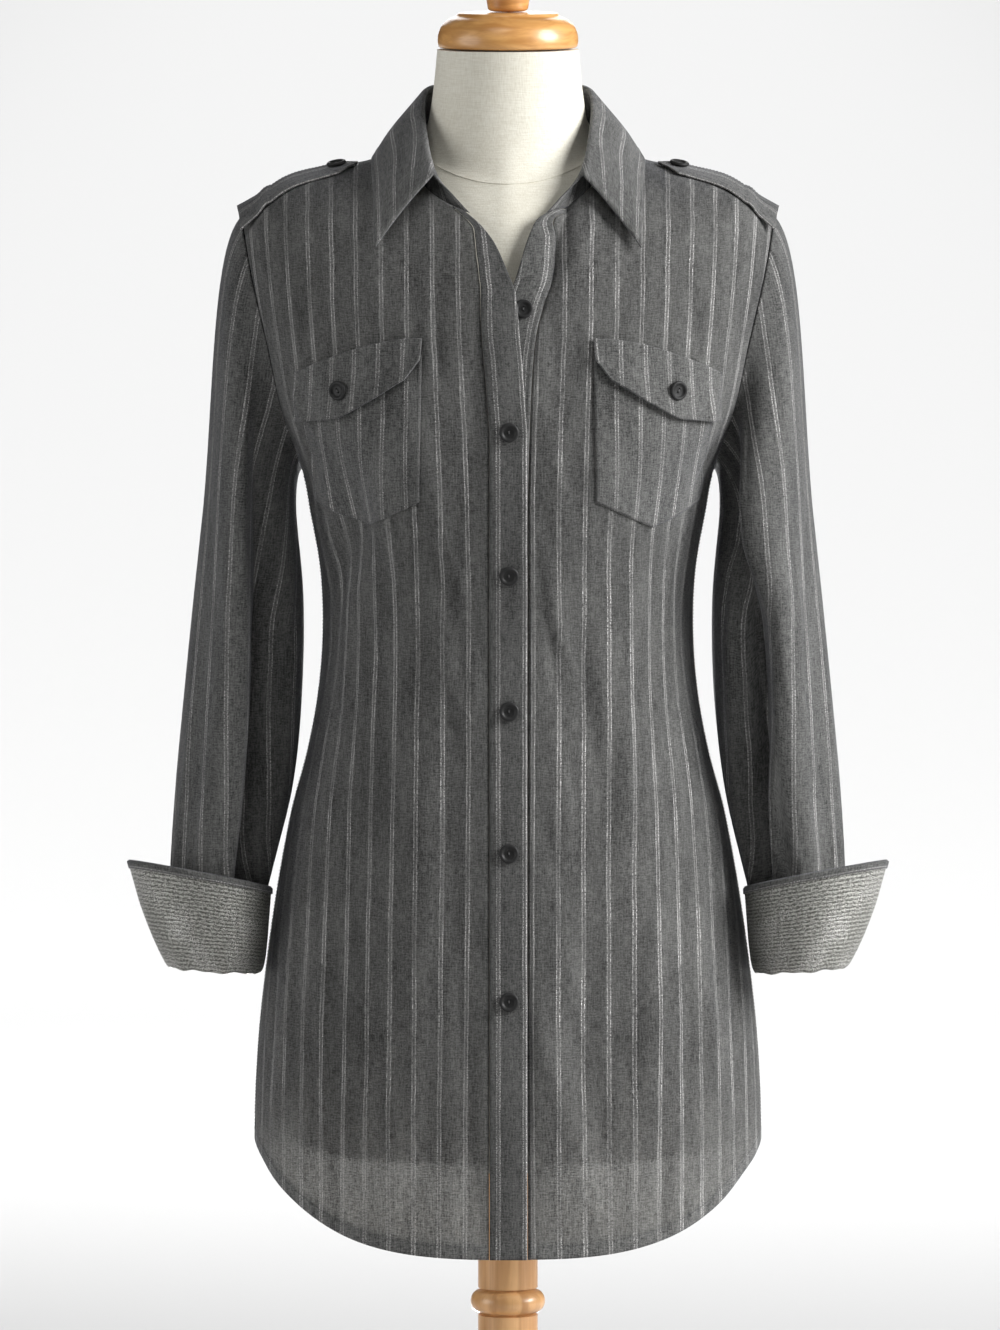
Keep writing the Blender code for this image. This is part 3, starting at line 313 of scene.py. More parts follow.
# On the back, the length is measured from its middle, and is negative towards the wearer's right.
BACK_CREASES = [
    (0.000, 1.150, 0.006, 0.960, 0.0016, 0.014), (0.030, 1.080, 0.022, 0.880, -0.0014, 0.012),
    (-0.034, 1.100, -0.024, 0.900, -0.0014, 0.013), (0.160, 1.070, 0.120, 0.960, 0.0020, 0.011),
    (-0.162, 1.060, -0.124, 0.950, 0.0020, 0.011), (0.176, 1.020, 0.130, 0.900, -0.0018, 0.010),
    (-0.178, 1.010, -0.134, 0.890, -0.0018, 0.010), (0.190, 0.980, 0.150, 0.850, 0.0014, 0.010),
    (-0.192, 0.975, -0.154, 0.840, 0.0014, 0.010), (0.020, 0.900, 0.052, 0.760, 0.0018, 0.011),
    (-0.016, 0.890, -0.048, 0.740, 0.0018, 0.012), (0.060, 0.880, 0.070, 0.690, -0.0016, 0.011),
    (-0.066, 0.890, -0.074, 0.700, -0.0016, 0.010), (0.092, 0.840, 0.098, 0.600, 0.0014, 0.012),
    (-0.096, 0.850, -0.104, 0.590, 0.0014, 0.012), (0.004, 0.720, 0.010, 0.420, -0.0018, 0.013),
    (0.040, 0.690, 0.046, 0.430, 0.0016, 0.012), (-0.036, 0.700, -0.042, 0.410, 0.0017, 0.013),
    (0.072, 0.640, 0.084, 0.410, -0.0015, 0.012), (-0.074, 0.660, -0.088, 0.420, -0.0015, 0.012),
    (0.116, 0.660, 0.130, 0.430, 0.0015, 0.013), (-0.118, 0.640, -0.134, 0.440, 0.0015, 0.013),
    (0.156, 0.700, 0.172, 0.460, -0.0014, 0.013), (-0.158, 0.690, -0.176, 0.470, -0.0014, 0.013),
    (0.200, 0.720, 0.214, 0.490, 0.0012, 0.012), (-0.202, 0.700, -0.216, 0.500, 0.0012, 0.012),
    (0.060, 1.190, 0.110, 1.150, 0.0009, 0.012), (-0.060, 1.190, -0.112, 1.148, 0.0009, 0.012),
    (0.130, 0.800, 0.140, 0.700, 0.0012, 0.010), (-0.132, 0.810, -0.144, 0.690, -0.0012, 0.010),
]  # fmt: skip


# %% Fold functions
CREASE_GAIN = 1.35  # the depths in the tables of small creases are multiplied by this
BUST_ANGLE, BUST_HEIGHT, BUST_DEPTH, BUST_REACH = 35.0, 0.985, 0.0050, (30.0, 0.085)


def body_fold(angle, height):
    """The outward swell of the large folds, and of the bust."""
    bust = BUST_DEPTH * hump((np.abs(angle) - BUST_ANGLE) / BUST_REACH[0])
    total = bust * hump((height - BUST_HEIGHT) / BUST_REACH[1])
    for middle, low, high, depth, half_width, lean in BODY_FOLDS:
        along = np.clip((height - low) / (high - low), 0.0, 1.0)
        away = from_middle(angle, middle + lean * along)
        total += depth * np.sin(math.pi * along) * hump(away / half_width)
    return total


def crease(table, across, height):
    """The swell of small creases at places given by the length round the body and the height."""
    total = np.zeros(np.broadcast(across, height).shape)
    for number, (a0, h0, a1, h1, depth, half_width) in enumerate(table):
        run = math.hypot(a1 - a0, h1 - h0)
        da, dh = (a1 - a0) / run, (h1 - h0) / run
        along = ((across - a0) * da + (height - h0) * dh) / run
        bow = half_width * (0.5 if number % 2 else -0.5) * np.sin(math.pi * 1.4 * along)
        away = (across - a0) * dh - (height - h0) * da + bow
        lengthwise = hump(2 * along - 1) * (np.abs(along - 0.5) < 0.5)
        total += CREASE_GAIN * depth * hump(away / half_width) * lengthwise
    return total


def front_swell(angle, height):
    """Everything that moves a front in or out from the torso, apart from its lift over the other front."""
    table = RIGHT_CREASES if np.mean(angle) < 0 else LEFT_CREASES
    return body_fold(angle, height) + crease(table, around(angle, height), height)


def around_back(angle, height):
    """Signed length round the body from the middle of the back, towards the wearer's left."""
    half_girth = around(np.full(np.shape(angle), 180.0), height)
    return np.sign(angle) * (half_girth - np.abs(around(angle, height)))


def back_swell(angle, height):
    return body_fold(angle, height) + crease(BACK_CREASES, around_back(angle, height), height)


def off_torso(angle, height, lift):
    return surface(angle, height) + outward(angle, height) * np.asarray(lift)[..., None]


print(len(RIGHT_CREASES) + len(LEFT_CREASES) + len(BACK_CREASES), "small creases on the body")

# %% [markdown]
# ## Outlines of the panels
# A shirt-tail hem is high at the side seams and long at the front and back. The armhole is a level loop
# seen from the side, and the neckline a shallow bow. Each front has its own free edge: the wearer's right
# front laps over, and both open into a V above the first fastened button.

# %% Outline tables
FRONT_HEM, SIDE_HEM, BACK_HEM = 0.384, 0.4576, 0.386
ARMHOLE_HALF_DEPTH = 0.056
NECK_SIDE_X, NECK_FRONT_X = 0.075, 0.0357
NECK_DROP_FRONT, NECK_DROP_BACK = 0.049, 0.002
PLACKET_WIDTH = 0.028
# Height of a front's free edge, and how far it lies past the middle towards its own side.
OVER_EDGE = [
    (1.007, -0.0144), (1.048, -0.0114), (1.095, -0.0070), (1.110, -0.0050), (1.121, -0.0010), (1.134, 0.0040),
    (1.147, 0.0106), (1.160, 0.0213), (1.1716, NECK_FRONT_X),
]  # fmt: skip
UNDER_EDGE = [
    (0.950, -0.0137), (1.020, -0.0115), (1.072, -0.0080), (1.100, -0.0020), (1.118, 0.0046), (1.130, 0.0084),
    (1.142, 0.0120), (1.154, 0.0164), (1.165, 0.0228), (1.1716, NECK_FRONT_X),
]  # fmt: skip
# Height, and how much of the placket's and the band's width shows: at the V the rest rolls out of sight.
OVER_WIDTH = [
    (0.380, 0.0280), (1.070, 0.0280), (1.100, 0.0265), (1.113, 0.0240), (1.126, 0.0205), (1.140, 0.0165),
    (1.150, 0.0115), (1.158, 0.0065), (1.1716, 0.0045),
]  # fmt: skip
UNDER_WIDTH = [
    (0.380, 0.0280), (1.112, 0.0280), (1.130, 0.0262), (1.140, 0.0238), (1.151, 0.0205), (1.160, 0.0145),
    (1.1716, 0.0090),
]  # fmt: skip


# %% Hem, neckline and strips
def strip_width(edge_table, height):
    return along_table(OVER_WIDTH if edge_table is OVER_EDGE else UNDER_WIDTH, height, 1)


def hem_height(angle):
    away = np.minimum(np.abs(angle), 180 - np.abs(angle)) / 90
    rise = (1 - np.cos(math.pi * away**1.5)) / 2
    return mix(np.where(np.abs(angle) < 90, FRONT_HEM, BACK_HEM), SIDE_HEM, rise)


def top_height(x, in_front):
    """The height of the neckline, or of the shoulder seam past it."""
    drop = NECK_DROP_FRONT if in_front else NECK_DROP_BACK
    share = np.minimum(np.abs(x) / NECK_SIDE_X, 1.0)
    neckline = ridge_height(NECK_SIDE_X) - drop * np.sqrt(1 - share**2)
    return np.where(np.abs(x) < NECK_SIDE_X, neckline, ridge_height(x))


# %% Armhole
def armhole(turn):
    """Angle and height of the armhole: 0 at the shoulder, 90 in front and 180 at the armpit."""
    turn = np.asarray(turn, float)
    share = (1 - np.cos(np.radians(turn))) / 2
    height = mix(TIP_HEIGHT, ARMPIT_HEIGHT, share)
    y = mix(RIDGE_Y, 0.0, share) - ARMHOLE_HALF_DEPTH * np.sin(np.radians(turn)) * (0.92 + 0.16 * share)
    zero = np.zeros(turn.shape)
    in_front = solve(zero, zero + 90, lambda angle: surface(angle, height)[..., 1] < y)
    behind = solve(zero + 180, zero + 90, lambda angle: surface(angle, height)[..., 1] > y)
    tip = angle_at(TIP_X, TIP_HEIGHT)
    angle = np.where(turn <= 180, in_front, behind)
    angle = np.where(share < 1e-9, np.where(turn > 180, 180 - tip, tip), angle)
    return angle, height


SIDE_TURNS = np.linspace(0.0, 180.0, 181)
SIDE_FRONT = armhole(SIDE_TURNS)[0]
SIDE_BACK = armhole(360 - SIDE_TURNS)[0]
SIDE_BACK[0] = 180 - SIDE_FRONT[0]


def side_angle(height, in_front):
    """Where a panel ends at this height: at the side seam, or at the armhole above it."""
    share = np.clip((TIP_HEIGHT - height) / (TIP_HEIGHT - ARMPIT_HEIGHT), 0.0, 1.0)
    turn = np.degrees(np.arccos(1 - 2 * share))
    found = np.interp(turn, SIDE_TURNS, SIDE_FRONT if in_front else SIDE_BACK)
    return np.where(height <= ARMPIT_HEIGHT, 90.0, found)


print("armhole reaches", round(float(SIDE_FRONT.min()), 1), "degrees in front")

# %% [markdown]
# ## Laying out a panel
# A panel is a grid of points: columns run from the hem to the shoulder, and rows run across. Beside each
# point the grid keeps its place on the flat cut cloth, in metres. The stripes and the weave are drawn in
# those flat coordinates, so they follow the cut, as printed or woven stripes do, and bend only where the
# cloth bends.

# %% Rows of a panel
HEM_ROWS = 5  # rows inside the turned hem
LOW_ROWS, HIGH_ROWS = 110, 72
STRIP_SHARE = 2 / 3  # of the upper rows run beside the placket, and the rest up the neckline
SEAM_GAP = 0.0003
EDGE_TURN = 0.05
HEM_DEPTH = 0.011
FRONT_SEAM_GAP = 0.0006
ROW_TURNS = (180, 163, 146, 129, 112, 95, 78, 61, 44, 29, 16, 7, 0)  # where rows meet the armhole
TOP_SEARCH = (1.10, 1.26)  # the heights between which every panel ends
COLUMN_SPREAD, FIRST_COLUMN = 0.9, 0.7  # spread of a front's columns, and how near the first is to the edge


def low_heights(angle):
    """Heights from the hem to just below the armpit, with close rows inside the turned hem."""
    hem = hem_height(angle)
    inside = [hem + HEM_DEPTH * i / HEM_ROWS for i in range(HEM_ROWS + 1)]
    above = [mix(hem + HEM_DEPTH, ARMPIT_HEIGHT, i / LOW_ROWS) for i in range(1, LOW_ROWS)]
    return np.array(inside + above)


def armhole_shares():
    last = len(ROW_TURNS) - 1
    turns = np.interp(np.linspace(0, last, HIGH_ROWS + 1), range(last + 1), ROW_TURNS)
    return (1 + circle(turns)[0]) / 2


def top_of(angle_of, in_front, count):
    """Where each of count columns meets the neckline or the shoulder seam."""
    low, high = (np.full(count, height) for height in TOP_SEARCH)
    return solve(low, high, lambda h: h < top_height(surface(angle_of(h), h)[..., 0], in_front))


def strip_angle(edge_table, share, height, gap=0.0):
    """Angle of a line along the placket or band, at this share of its width from the free edge."""
    edge = along_table(edge_table, height, 1)
    return angle_at(edge + strip_width(edge_table, height) * share + gap, height)


# %% Front grid
def front_layout(edge_table, columns):
    """Angles (unsigned) and heights of a front's grid."""
    neck_top = ridge_height(NECK_SIDE_X)
    corner = top_of(lambda h: strip_angle(edge_table, 1.0, h, FRONT_SEAM_GAP), True, 1)[0]
    corner_turn = math.asin((neck_top - corner) / NECK_DROP_FRONT)

    def inner_angle(height):
        below_top = np.clip((neck_top - height) / NECK_DROP_FRONT, 0.0, 1.0)
        round_neck = angle_at(NECK_SIDE_X * np.sqrt(1 - below_top**2), height)
        return np.where(height <= corner, strip_angle(edge_table, 1.0, height, FRONT_SEAM_GAP), round_neck)

    part = np.linspace(0.0, 1.0, columns) ** COLUMN_SPREAD
    part[1] *= FIRST_COLUMN

    def angle_of(height):
        return mix(inner_angle(np.minimum(height, neck_top)), side_angle(height, True) - EDGE_TURN, part)

    top = top_of(angle_of, True, columns)
    top[0] = neck_top
    rows = np.linspace(0.0, 1.0, HIGH_ROWS + 1)
    beside = mix(ARMPIT_HEIGHT, corner, np.sin(math.pi / 2 * np.minimum(rows / STRIP_SHARE, 1.0)))
    past_strip = np.maximum(rows - STRIP_SHARE, 0.0) / (1 - STRIP_SHARE)
    up_neck = neck_top - NECK_DROP_FRONT * np.sin(corner_turn * (1 - past_strip))
    inner = (np.where(rows <= STRIP_SHARE, beside, up_neck) - ARMPIT_HEIGHT) / (neck_top - ARMPIT_HEIGHT)
    shares = mix(inner[:, None], armhole_shares()[:, None], part[None, :])
    high = ARMPIT_HEIGHT + (top - ARMPIT_HEIGHT) * shares
    low = low_heights(angle_of(np.full(columns, FRONT_HEM)))
    heights = np.vstack([low, high])
    return np.array([angle_of(h) for h in heights]).T, heights.T


# %% Strip and back grids
def strip_layout(edge_table, columns):
    """Angles (unsigned) and heights of the placket or the button band."""
    part = np.linspace(0.0, 1.0, columns)

    def angle_of(height):
        return strip_angle(edge_table, part, height)

    shares = np.sin(math.pi / 2 * np.linspace(0.0, 1.0, HIGH_ROWS + 1))
    high = ARMPIT_HEIGHT + (top_of(angle_of, True, columns) - ARMPIT_HEIGHT) * shares[:, None]
    heights = np.vstack([low_heights(angle_of(np.full(columns, FRONT_HEM))), high])
    return np.array([angle_of(h) for h in heights]).T, heights.T


def back_layout(columns):
    """Signed parts, angles (unsigned) and heights of the back, from side seam to side seam."""
    height = ridge_height(NECK_SIDE_X)
    neck_end = float(angle_at(NECK_SIDE_X, height) / (180 - side_angle(TIP_HEIGHT, False)))
    inner = np.linspace(0.0, neck_end, columns // 3)
    half = np.concatenate([inner, np.linspace(neck_end, 1.0, columns // 2 - len(inner) + 2)[1:]])
    part = np.concatenate([-half[:0:-1], half])

    def angle_of(height):
        return 180 - (180 - side_angle(height, False) - EDGE_TURN) * np.abs(part)

    high = ARMPIT_HEIGHT + (top_of(angle_of, False, len(part)) - ARMPIT_HEIGHT) * armhole_shares()[:, None]
    heights = np.vstack([low_heights(angle_of(np.full(len(part), FRONT_HEM))), high])
    side = np.where(part < 0, -1.0, 1.0)
    return (np.array([angle_of(h) for h in heights]) * side).T, heights.T, neck_end, part


print("rows in a panel:", HEM_ROWS + LOW_ROWS + HIGH_ROWS + 1)

# %% [markdown]
# ## Turning a grid into a cloth shell
# Each piece is one open sheet of quads, thickened outwards by a Solidify modifier. The flat coordinates go
# into a UV map named "cut", and a point attribute named "ply" says where the cloth is double, as in hems:
# there less light comes through.


# %% Cloth builder
LEVEL = np.array([1.0, 1.0, 0.0])  # takes the height out of a direction
SIDES = ((-1, "right"), (1, "left"))  # the wearer's right side is at -X
WELD_DISTANCE = 0.00002


def faces_outwards(points, quads, facing):
    """True if the quads face the way that facing says, on the whole."""
    flat = points.reshape(-1, 3)
    a, b, d = (flat[quads[:, corner]] for corner in (0, 1, 3))
    return float(np.sum(np.cross(b - a, d - a) * facing((a + b + d) / 3))) > 0


def from_body(points):
    return points * LEVEL


def flat_place(across, up):
    """Places on the flat cloth, from the lengths across it and up it."""
    return np.stack(np.broadcast_arrays(across, up), axis=-1)


def cloth(name, points, cut, thickness, finish, facing=from_body, ply=0.0, weld=False, under=None):
    """A shell through a grid of points, with each point's place on the flat cloth in cut."""
    columns, rows = points.shape[:2]
    index = np.arange(columns * rows).reshape(columns, rows)
    quads = np.stack([index[:-1, :-1], index[1:, :-1], index[1:, 1:], index[:-1, 1:]], axis=-1).reshape(-1, 4)
    if not faces_outwards(points, quads, facing):
        quads = quads[:, ::-1]
    mesh = bpy.data.meshes.new(name)
    mesh.from_pydata(points.reshape(-1, 3).tolist(), [], quads.tolist())
    layer = mesh.uv_layers.new(name="cut")
    layer.data.foreach_set("uv", cut.reshape(-1, 2)[quads.reshape(-1)].astype(np.float32).ravel())
    double = mesh.attributes.new("ply", "FLOAT", "POINT")
    double.data.foreach_set("value", np.broadcast_to(ply, (columns, rows)).astype(np.float32).ravel())
    for used in [finish] + ([under] if under else []):
        mesh.materials.append(used)
    mesh.shade_smooth()
    piece = add_object(name, mesh)
    if weld:
        piece.modifiers.new("join", "WELD").merge_threshold = WELD_DISTANCE
    wall = piece.modifiers.new("wall", "SOLIDIFY")
    wall.thickness = thickness
    wall.offset = 1.0
    wall.material_offset = 1 if under else 0
    return piece


# %% Declaring a sheet
NEARLY_WHOLE = 0.995  # from this share of its rectangle on, a cut counts as a rectangle


def flat_area(cut):
    """Area of the flat cloth under a grid."""
    a, b = cut[1:, 1:] - cut[:-1, :-1], cut[:-1, 1:] - cut[1:, :-1]
    return float(np.abs(a[..., 0] * b[..., 1] - a[..., 1] * b[..., 0]).sum() / 2)


def declare(piece, cut, held, rests_on, slot, *nodes):
    """The piece rides on the root and stands for its solids; the size its flat places span is worked out and
    printed.
    """
    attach(piece, "root")
    if nodes:
        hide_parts(*nodes)
    size = [float(span) for span in np.ptp(cut.reshape(-1, 2), axis=0)]
    area = flat_area(cut)
    if area > NEARLY_WHOLE * size[0] * size[1]:
        area = None
    print(piece.name, "cut", [round(span, 3) for span in size], "m")

# %% [markdown]
# ## The striped shirting
# The real cloth is a light plain weave of charcoal yarn, mottled like chambray, with fine slubs both ways.
# Every 20 mm a pair of thin silver metallic threads runs along the warp. The shader works in the cut's
# metres: a ping-pong gives the distance to the nearest stripe, noise stretched along each yarn direction
# gives the mottle, and fine sine waves bump the weave. A part of the light passes through single cloth,
# which makes the skirt paler below the form.

# %% Node helpers
def new_material(name):
    made = bpy.data.materials.new(name)
    made.use_nodes = True
    return made, made.node_tree, made.node_tree.nodes["Principled BSDF"]


def settings(node, values):
    """Sets plain values on a node's inputs, by name."""
    for name, value in values.items():
        node.inputs[name].default_value = value


def link(tree, source, socket):
    """Connects a socket to an input, or sets a plain value on it."""
    if isinstance(source, bpy.types.NodeSocket):
        tree.links.new(source, socket)
    else:
        socket.default_value = source


def calc(tree, operation, *values):
    node = tree.nodes.new("ShaderNodeMath")
    node.operation = operation
    for socket, value in zip(node.inputs, values):
        link(tree, value, socket)
    return node.outputs[0]


def spread(tree, value, low, high, to_low=0.0, to_high=1.0, smooth=True):
    node = tree.nodes.new("ShaderNodeMapRange")
    node.interpolation_type = "SMOOTHSTEP" if smooth else "LINEAR"
    for socket, given in zip(node.inputs, (value, low, high, to_low, to_high)):
        link(tree, given, socket)
    return node.outputs[0]


def blend_colours(tree, share, a, b):
    node = tree.nodes.new("ShaderNodeMix")
    node.data_type = "RGBA"
    for socket, given in ((0, share), (6, a), (7, b)):
        link(tree, given, node.inputs[socket])
    return node.outputs[2]


# %% Cloth space, noise and bump
def cut_place(tree):
    """The two coordinates on the flat cloth, in metres."""
    place = tree.nodes.new("ShaderNodeUVMap")
    place.uv_map = "cut"
    parts = tree.nodes.new("ShaderNodeSeparateXYZ")
    tree.links.new(place.outputs[0], parts.inputs[0])
    return parts.outputs[0], parts.outputs[1]


def noise(tree, u, v, u_scale, v_scale, detail=2.0, roughness=0.5):
    """Noise that is stretched by using its own scale for each direction."""
    place = tree.nodes.new("ShaderNodeCombineXYZ")
    tree.links.new(calc(tree, "MULTIPLY", u, u_scale), place.inputs[0])
    tree.links.new(calc(tree, "MULTIPLY", v, v_scale), place.inputs[1])
    made = tree.nodes.new("ShaderNodeTexNoise")
    made.noise_dimensions = "2D"
    settings(made, {"Scale": 1.0, "Detail": detail, "Roughness": roughness})
    tree.links.new(place.outputs[0], made.inputs["Vector"])
    return made.outputs[0]


def solid_noise(tree, stretch, scale=1.0, detail=2.0, distortion=0.0):
    """Noise through a piece's own space, stretched along its axes."""
    place = tree.nodes.new("ShaderNodeTexCoord")
    scaled = tree.nodes.new("ShaderNodeMapping")
    made = tree.nodes.new("ShaderNodeTexNoise")
    settings(scaled, {"Scale": stretch})
    settings(made, {"Scale": scale, "Detail": detail, "Distortion": distortion})
    tree.links.new(place.outputs["Object"], scaled.inputs["Vector"])
    tree.links.new(scaled.outputs[0], made.inputs["Vector"])
    return made.outputs[0]


def bump(tree, height, distance, strength):
    node = tree.nodes.new("ShaderNodeBump")
    settings(node, {"Strength": strength, "Distance": distance})
    tree.links.new(height, node.inputs["Height"])
    return node.outputs[0]


def grey(value, warm=0.0):
    """A grey, or one that is a little warmer."""
    return (value * (1 + warm), value, value * (1 - warm), 1.0)


def weighed(tree, *parts):
    """The sum of values, each times its weight."""
    total = None
    for value, weight in parts:
        value = calc(tree, "MULTIPLY", value, weight)
        total = value if total is None else calc(tree, "ADD", total, value)
    return total


# %% Ground and stripes
STRIPE_PITCH = 0.0197
STRIPE_HALF_SPACING = 0.00125  # from the middle of a stripe to each of its two lines
LINE_EDGES = (0.00058, 0.00018)  # where a line fades out, and where it is full
BAND_EDGES = (0.0019, 0.0013)
# Scales across and along the cloth, detail, roughness and weight of each noise.
MOTTLE = [
    (900, 110, 2, 0.6, 1.0), (170, 1000, 2, 0.6, 1.0), (800, 800, 1, 0.5, 0.8), (90, 14, 2, 0.5, 0.55),
    (16, 12, 2, 0.5, 0.35),
]  # fmt: skip


def ground_share(tree, u, v):
    """From 0 for the darkest yarn to 1 for the palest."""
    mottle = weighed(tree, *((noise(tree, u, v, *row[:4]), row[4]) for row in MOTTLE))
    return spread(tree, mottle, 1.40, 2.30, smooth=False)


def stripe_share(tree, u, v):
    """1 on the metallic threads: two lines with a fainter band between, broken into flecks."""
    wander = weighed(tree, (noise(tree, u, v, 8, 22, 1), 0.0012), (noise(tree, u, v, 200, 500, 1), 0.0006))
    u = calc(tree, "ADD", u, calc(tree, "SUBTRACT", wander, 0.0009))
    away = calc(tree, "PINGPONG", calc(tree, "DIVIDE", u, STRIPE_PITCH), 0.5)
    away = calc(tree, "MULTIPLY", away, STRIPE_PITCH)
    from_line = calc(tree, "ABSOLUTE", calc(tree, "SUBTRACT", away, STRIPE_HALF_SPACING))
    line = spread(tree, from_line, *LINE_EDGES)
    line = calc(tree, "MAXIMUM", line, spread(tree, away, *BAND_EDGES, 0.0, 0.20))
    fleck = spread(tree, noise(tree, u, v, 700, 1150, 2, 0.7), 0.38, 0.62, 0.10, 1.0)
    patch = spread(tree, noise(tree, u, v, 24, 20, 2), 0.35, 0.65, 0.50, 1.0)
    return calc(tree, "MULTIPLY", line, calc(tree, "MULTIPLY", fleck, patch))


# %% Shirting
THREAD = 0.00055  # one yarn of the weave
GROUND_DARK, GROUND_LIGHT, GROUND_BLUE = 0.030, 0.215, 0.965
SILVER, OPAQUE_SILVER, PAINTED_GLINT_GREY = 0.60, 0.444, 0.95  # the stripes on thin and on opaque cloth, and the near-white of their painted glints
THROUGH, THROUGH_DOUBLE = 0.34, 0.12  # light through single cloth, and how much of that through double
GLOW_DARK, GLOW_LIGHT = (0.36, 0.36, 0.351, 1.0), (0.80, 0.80, 0.78, 1.0)  # it passes between the threads


def shine_through(tree, shader, through, share, line):
    """Mixes in the light that passes: less where the cloth is double, and least at the stripes."""
    glow = tree.nodes.new("ShaderNodeBsdfTranslucent")
    tree.links.new(blend_colours(tree, share, GLOW_DARK, GLOW_LIGHT), glow.inputs["Color"])
    ply = tree.nodes.new("ShaderNodeAttribute")
    ply.attribute_name = "ply"
    passed = spread(tree, ply.outputs["Fac"], 0.0, 1.0, through, through * THROUGH_DOUBLE)
    passed = calc(tree, "MULTIPLY", passed, spread(tree, line, 0.0, 1.0, 1.0, 0.2, smooth=False))
    both = tree.nodes.new("ShaderNodeMixShader")
    for socket, source in enumerate((passed, shader.outputs[0], glow.outputs[0])):
        tree.links.new(source, both.inputs[socket])
    tree.links.new(both.outputs[0], tree.nodes["Material Output"].inputs[0])


def shirting(name, shade, through=0.0, turned=False):
    """Striped cloth. shade darkens it (painted shade on the sleeves and placket), through lets light pass,
    and turned runs the stripes the other way.
    """
    made, tree, shader = new_material(name)
    u, v = cut_place(tree)
    if turned:
        u, v = v, u
    share, line = ground_share(tree, u, v), stripe_share(tree, u, v)
    dark, light = ((c * shade, c * shade, c * shade * GROUND_BLUE, 1.0) for c in (GROUND_DARK, GROUND_LIGHT))
    ground = blend_colours(tree, share, dark, light)
    colour = blend_colours(tree, line, ground, grey(SILVER if through else OPAQUE_SILVER, 0.02))
    # painted glints: near-white specks on the metallic lines stand in for their reflections
    painted_glint = calc(tree, "MULTIPLY", line, spread(tree, noise(tree, u, v, 1100, 1500, 1), 0.60, 0.72))
    colour = blend_colours(tree, painted_glint, colour, grey(PAINTED_GLINT_GREY, 0.02))
    tree.links.new(colour, shader.inputs["Base Color"])
    tree.links.new(calc(tree, "MULTIPLY", line, 0.35), shader.inputs["Metallic"])
    tree.links.new(spread(tree, line, 0.0, 1.0, 0.86, 0.40, smooth=False), shader.inputs["Roughness"])
    settings(shader, {"Sheen Weight": 0.15, "Sheen Roughness": 0.4, "Sheen Tint": (0.82, 0.85, 1.0, 1.0)})
    warp, weft = (calc(tree, "SINE", calc(tree, "MULTIPLY", at, 2 * math.pi / THREAD)) for at in (u, v))
    weave = weighed(tree, (calc(tree, "MULTIPLY", warp, weft), 1.0), (share, 1.5), (line, 0.8))
    tree.links.new(bump(tree, weave, 0.00012, 0.6), shader.inputs["Normal"])
    if through:
        shine_through(tree, shader, through, share, line)
    return made


SINGLE_CLOTH = shirting("striped_shirting", 1.0, THROUGH)
DOUBLE_CLOTH = shirting("striped_shirting_doubled", 0.76)
# The sleeves and the placket are darker copies of the same shirting: painted shade.
SHADED_SLEEVE_CLOTH = shirting("striped_shirting_sleeve_painted_shade", 0.69)
SHADED_PLACKET_CLOTH = shirting("striped_shirting_placket_painted_shade", 0.55)
print("stripes every", STRIPE_PITCH * 1000, "mm")

# %% [markdown]
# ## Stitches
# Topstitching is what makes sewn cloth look sewn. Each stitch is a small six-sided bead, pointed at both
# ends and half sunk into the cloth, and a seam is a row of them along a line on the piece. All stitches of
# a piece are one mesh.

# %% Stitch maker
STITCH_LENGTH, STITCH_GAP, STITCH_RADIUS = 0.0020, 0.0007, 0.00020
stitch_rows = []


def sew(points, normals):
    """Adds a row of stitches along a line of points on a surface."""
    points, normals = np.asarray(points, float), np.asarray(normals, float)
    length = lengths_along(points, 0)
    starts = np.arange(STITCH_GAP, length[-1] - STITCH_LENGTH, STITCH_LENGTH + STITCH_GAP)

    ends = along_line(starts + STITCH_LENGTH, length, points)
    stitch_rows.append((along_line(starts, length, points), ends, unit(along_line(starts, length, normals))))


def stitch_mesh(name):
    """Makes one mesh of all rows sewn since the last call."""
    start, end, normal = (np.concatenate([row[k] for row in stitch_rows]) for k in range(3))
    stitch_rows.clear()
    side = unit(np.cross(end - start, normal)) * STITCH_RADIUS
    rise = normal * STITCH_RADIUS
    rings = []
    for t in (0.22, 0.78):
        middle = mix(start, end, t) + rise * 0.5
        rings += [middle + side * math.cos(a) + rise * math.sin(a) for a in np.radians(range(0, 360, 60))]
    points = np.stack([start - rise * 0.4] + rings + [end - rise * 0.4], axis=1)
    sides = [(1 + i, 1 + (i + 1) % 6, 7 + (i + 1) % 6, 7 + i) for i in range(6)]
    tips = [(0, 1 + (i + 1) % 6, 1 + i) for i in range(6)] + [(13, 7 + i, 7 + (i + 1) % 6) for i in range(6)]
    faces = [tuple(14 * k + i for i in face) for k in range(len(points)) for face in sides + tips]
    mesh = bpy.data.meshes.new(name)
    mesh.from_pydata(points.reshape(-1, 3).tolist(), [], faces)
    mesh.materials.append(SEWING_THREAD)
    mesh.shade_smooth()
    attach(add_object(name, mesh), "root")
    print(name, len(points), "stitches")


# %% Thread
def thread_material():
    made, tree, shader = new_material("sewing_thread")
    twist = solid_noise(tree, (1, 1, 1), scale=900.0)
    tree.links.new(blend_colours(tree, twist, grey(0.035), grey(0.12)), shader.inputs["Base Color"])
    settings(shader, {"Roughness": 0.6})
    return made


SEWING_THREAD = thread_material()
print("stitches of", STITCH_LENGTH * 1000, "mm")

# %% [markdown]
# ## Fronts, placket, band and back
# The fronts are single cloth with a doubled hem. The wearer's right front climbs onto the placket, a
# doubled strip with a row of stitches down each side, which lies on the plain button band of the other
# front. The grain of both fronts follows the middle of the body, and a little cloth is taken up at the
# waist, so the outer stripes draw together there.

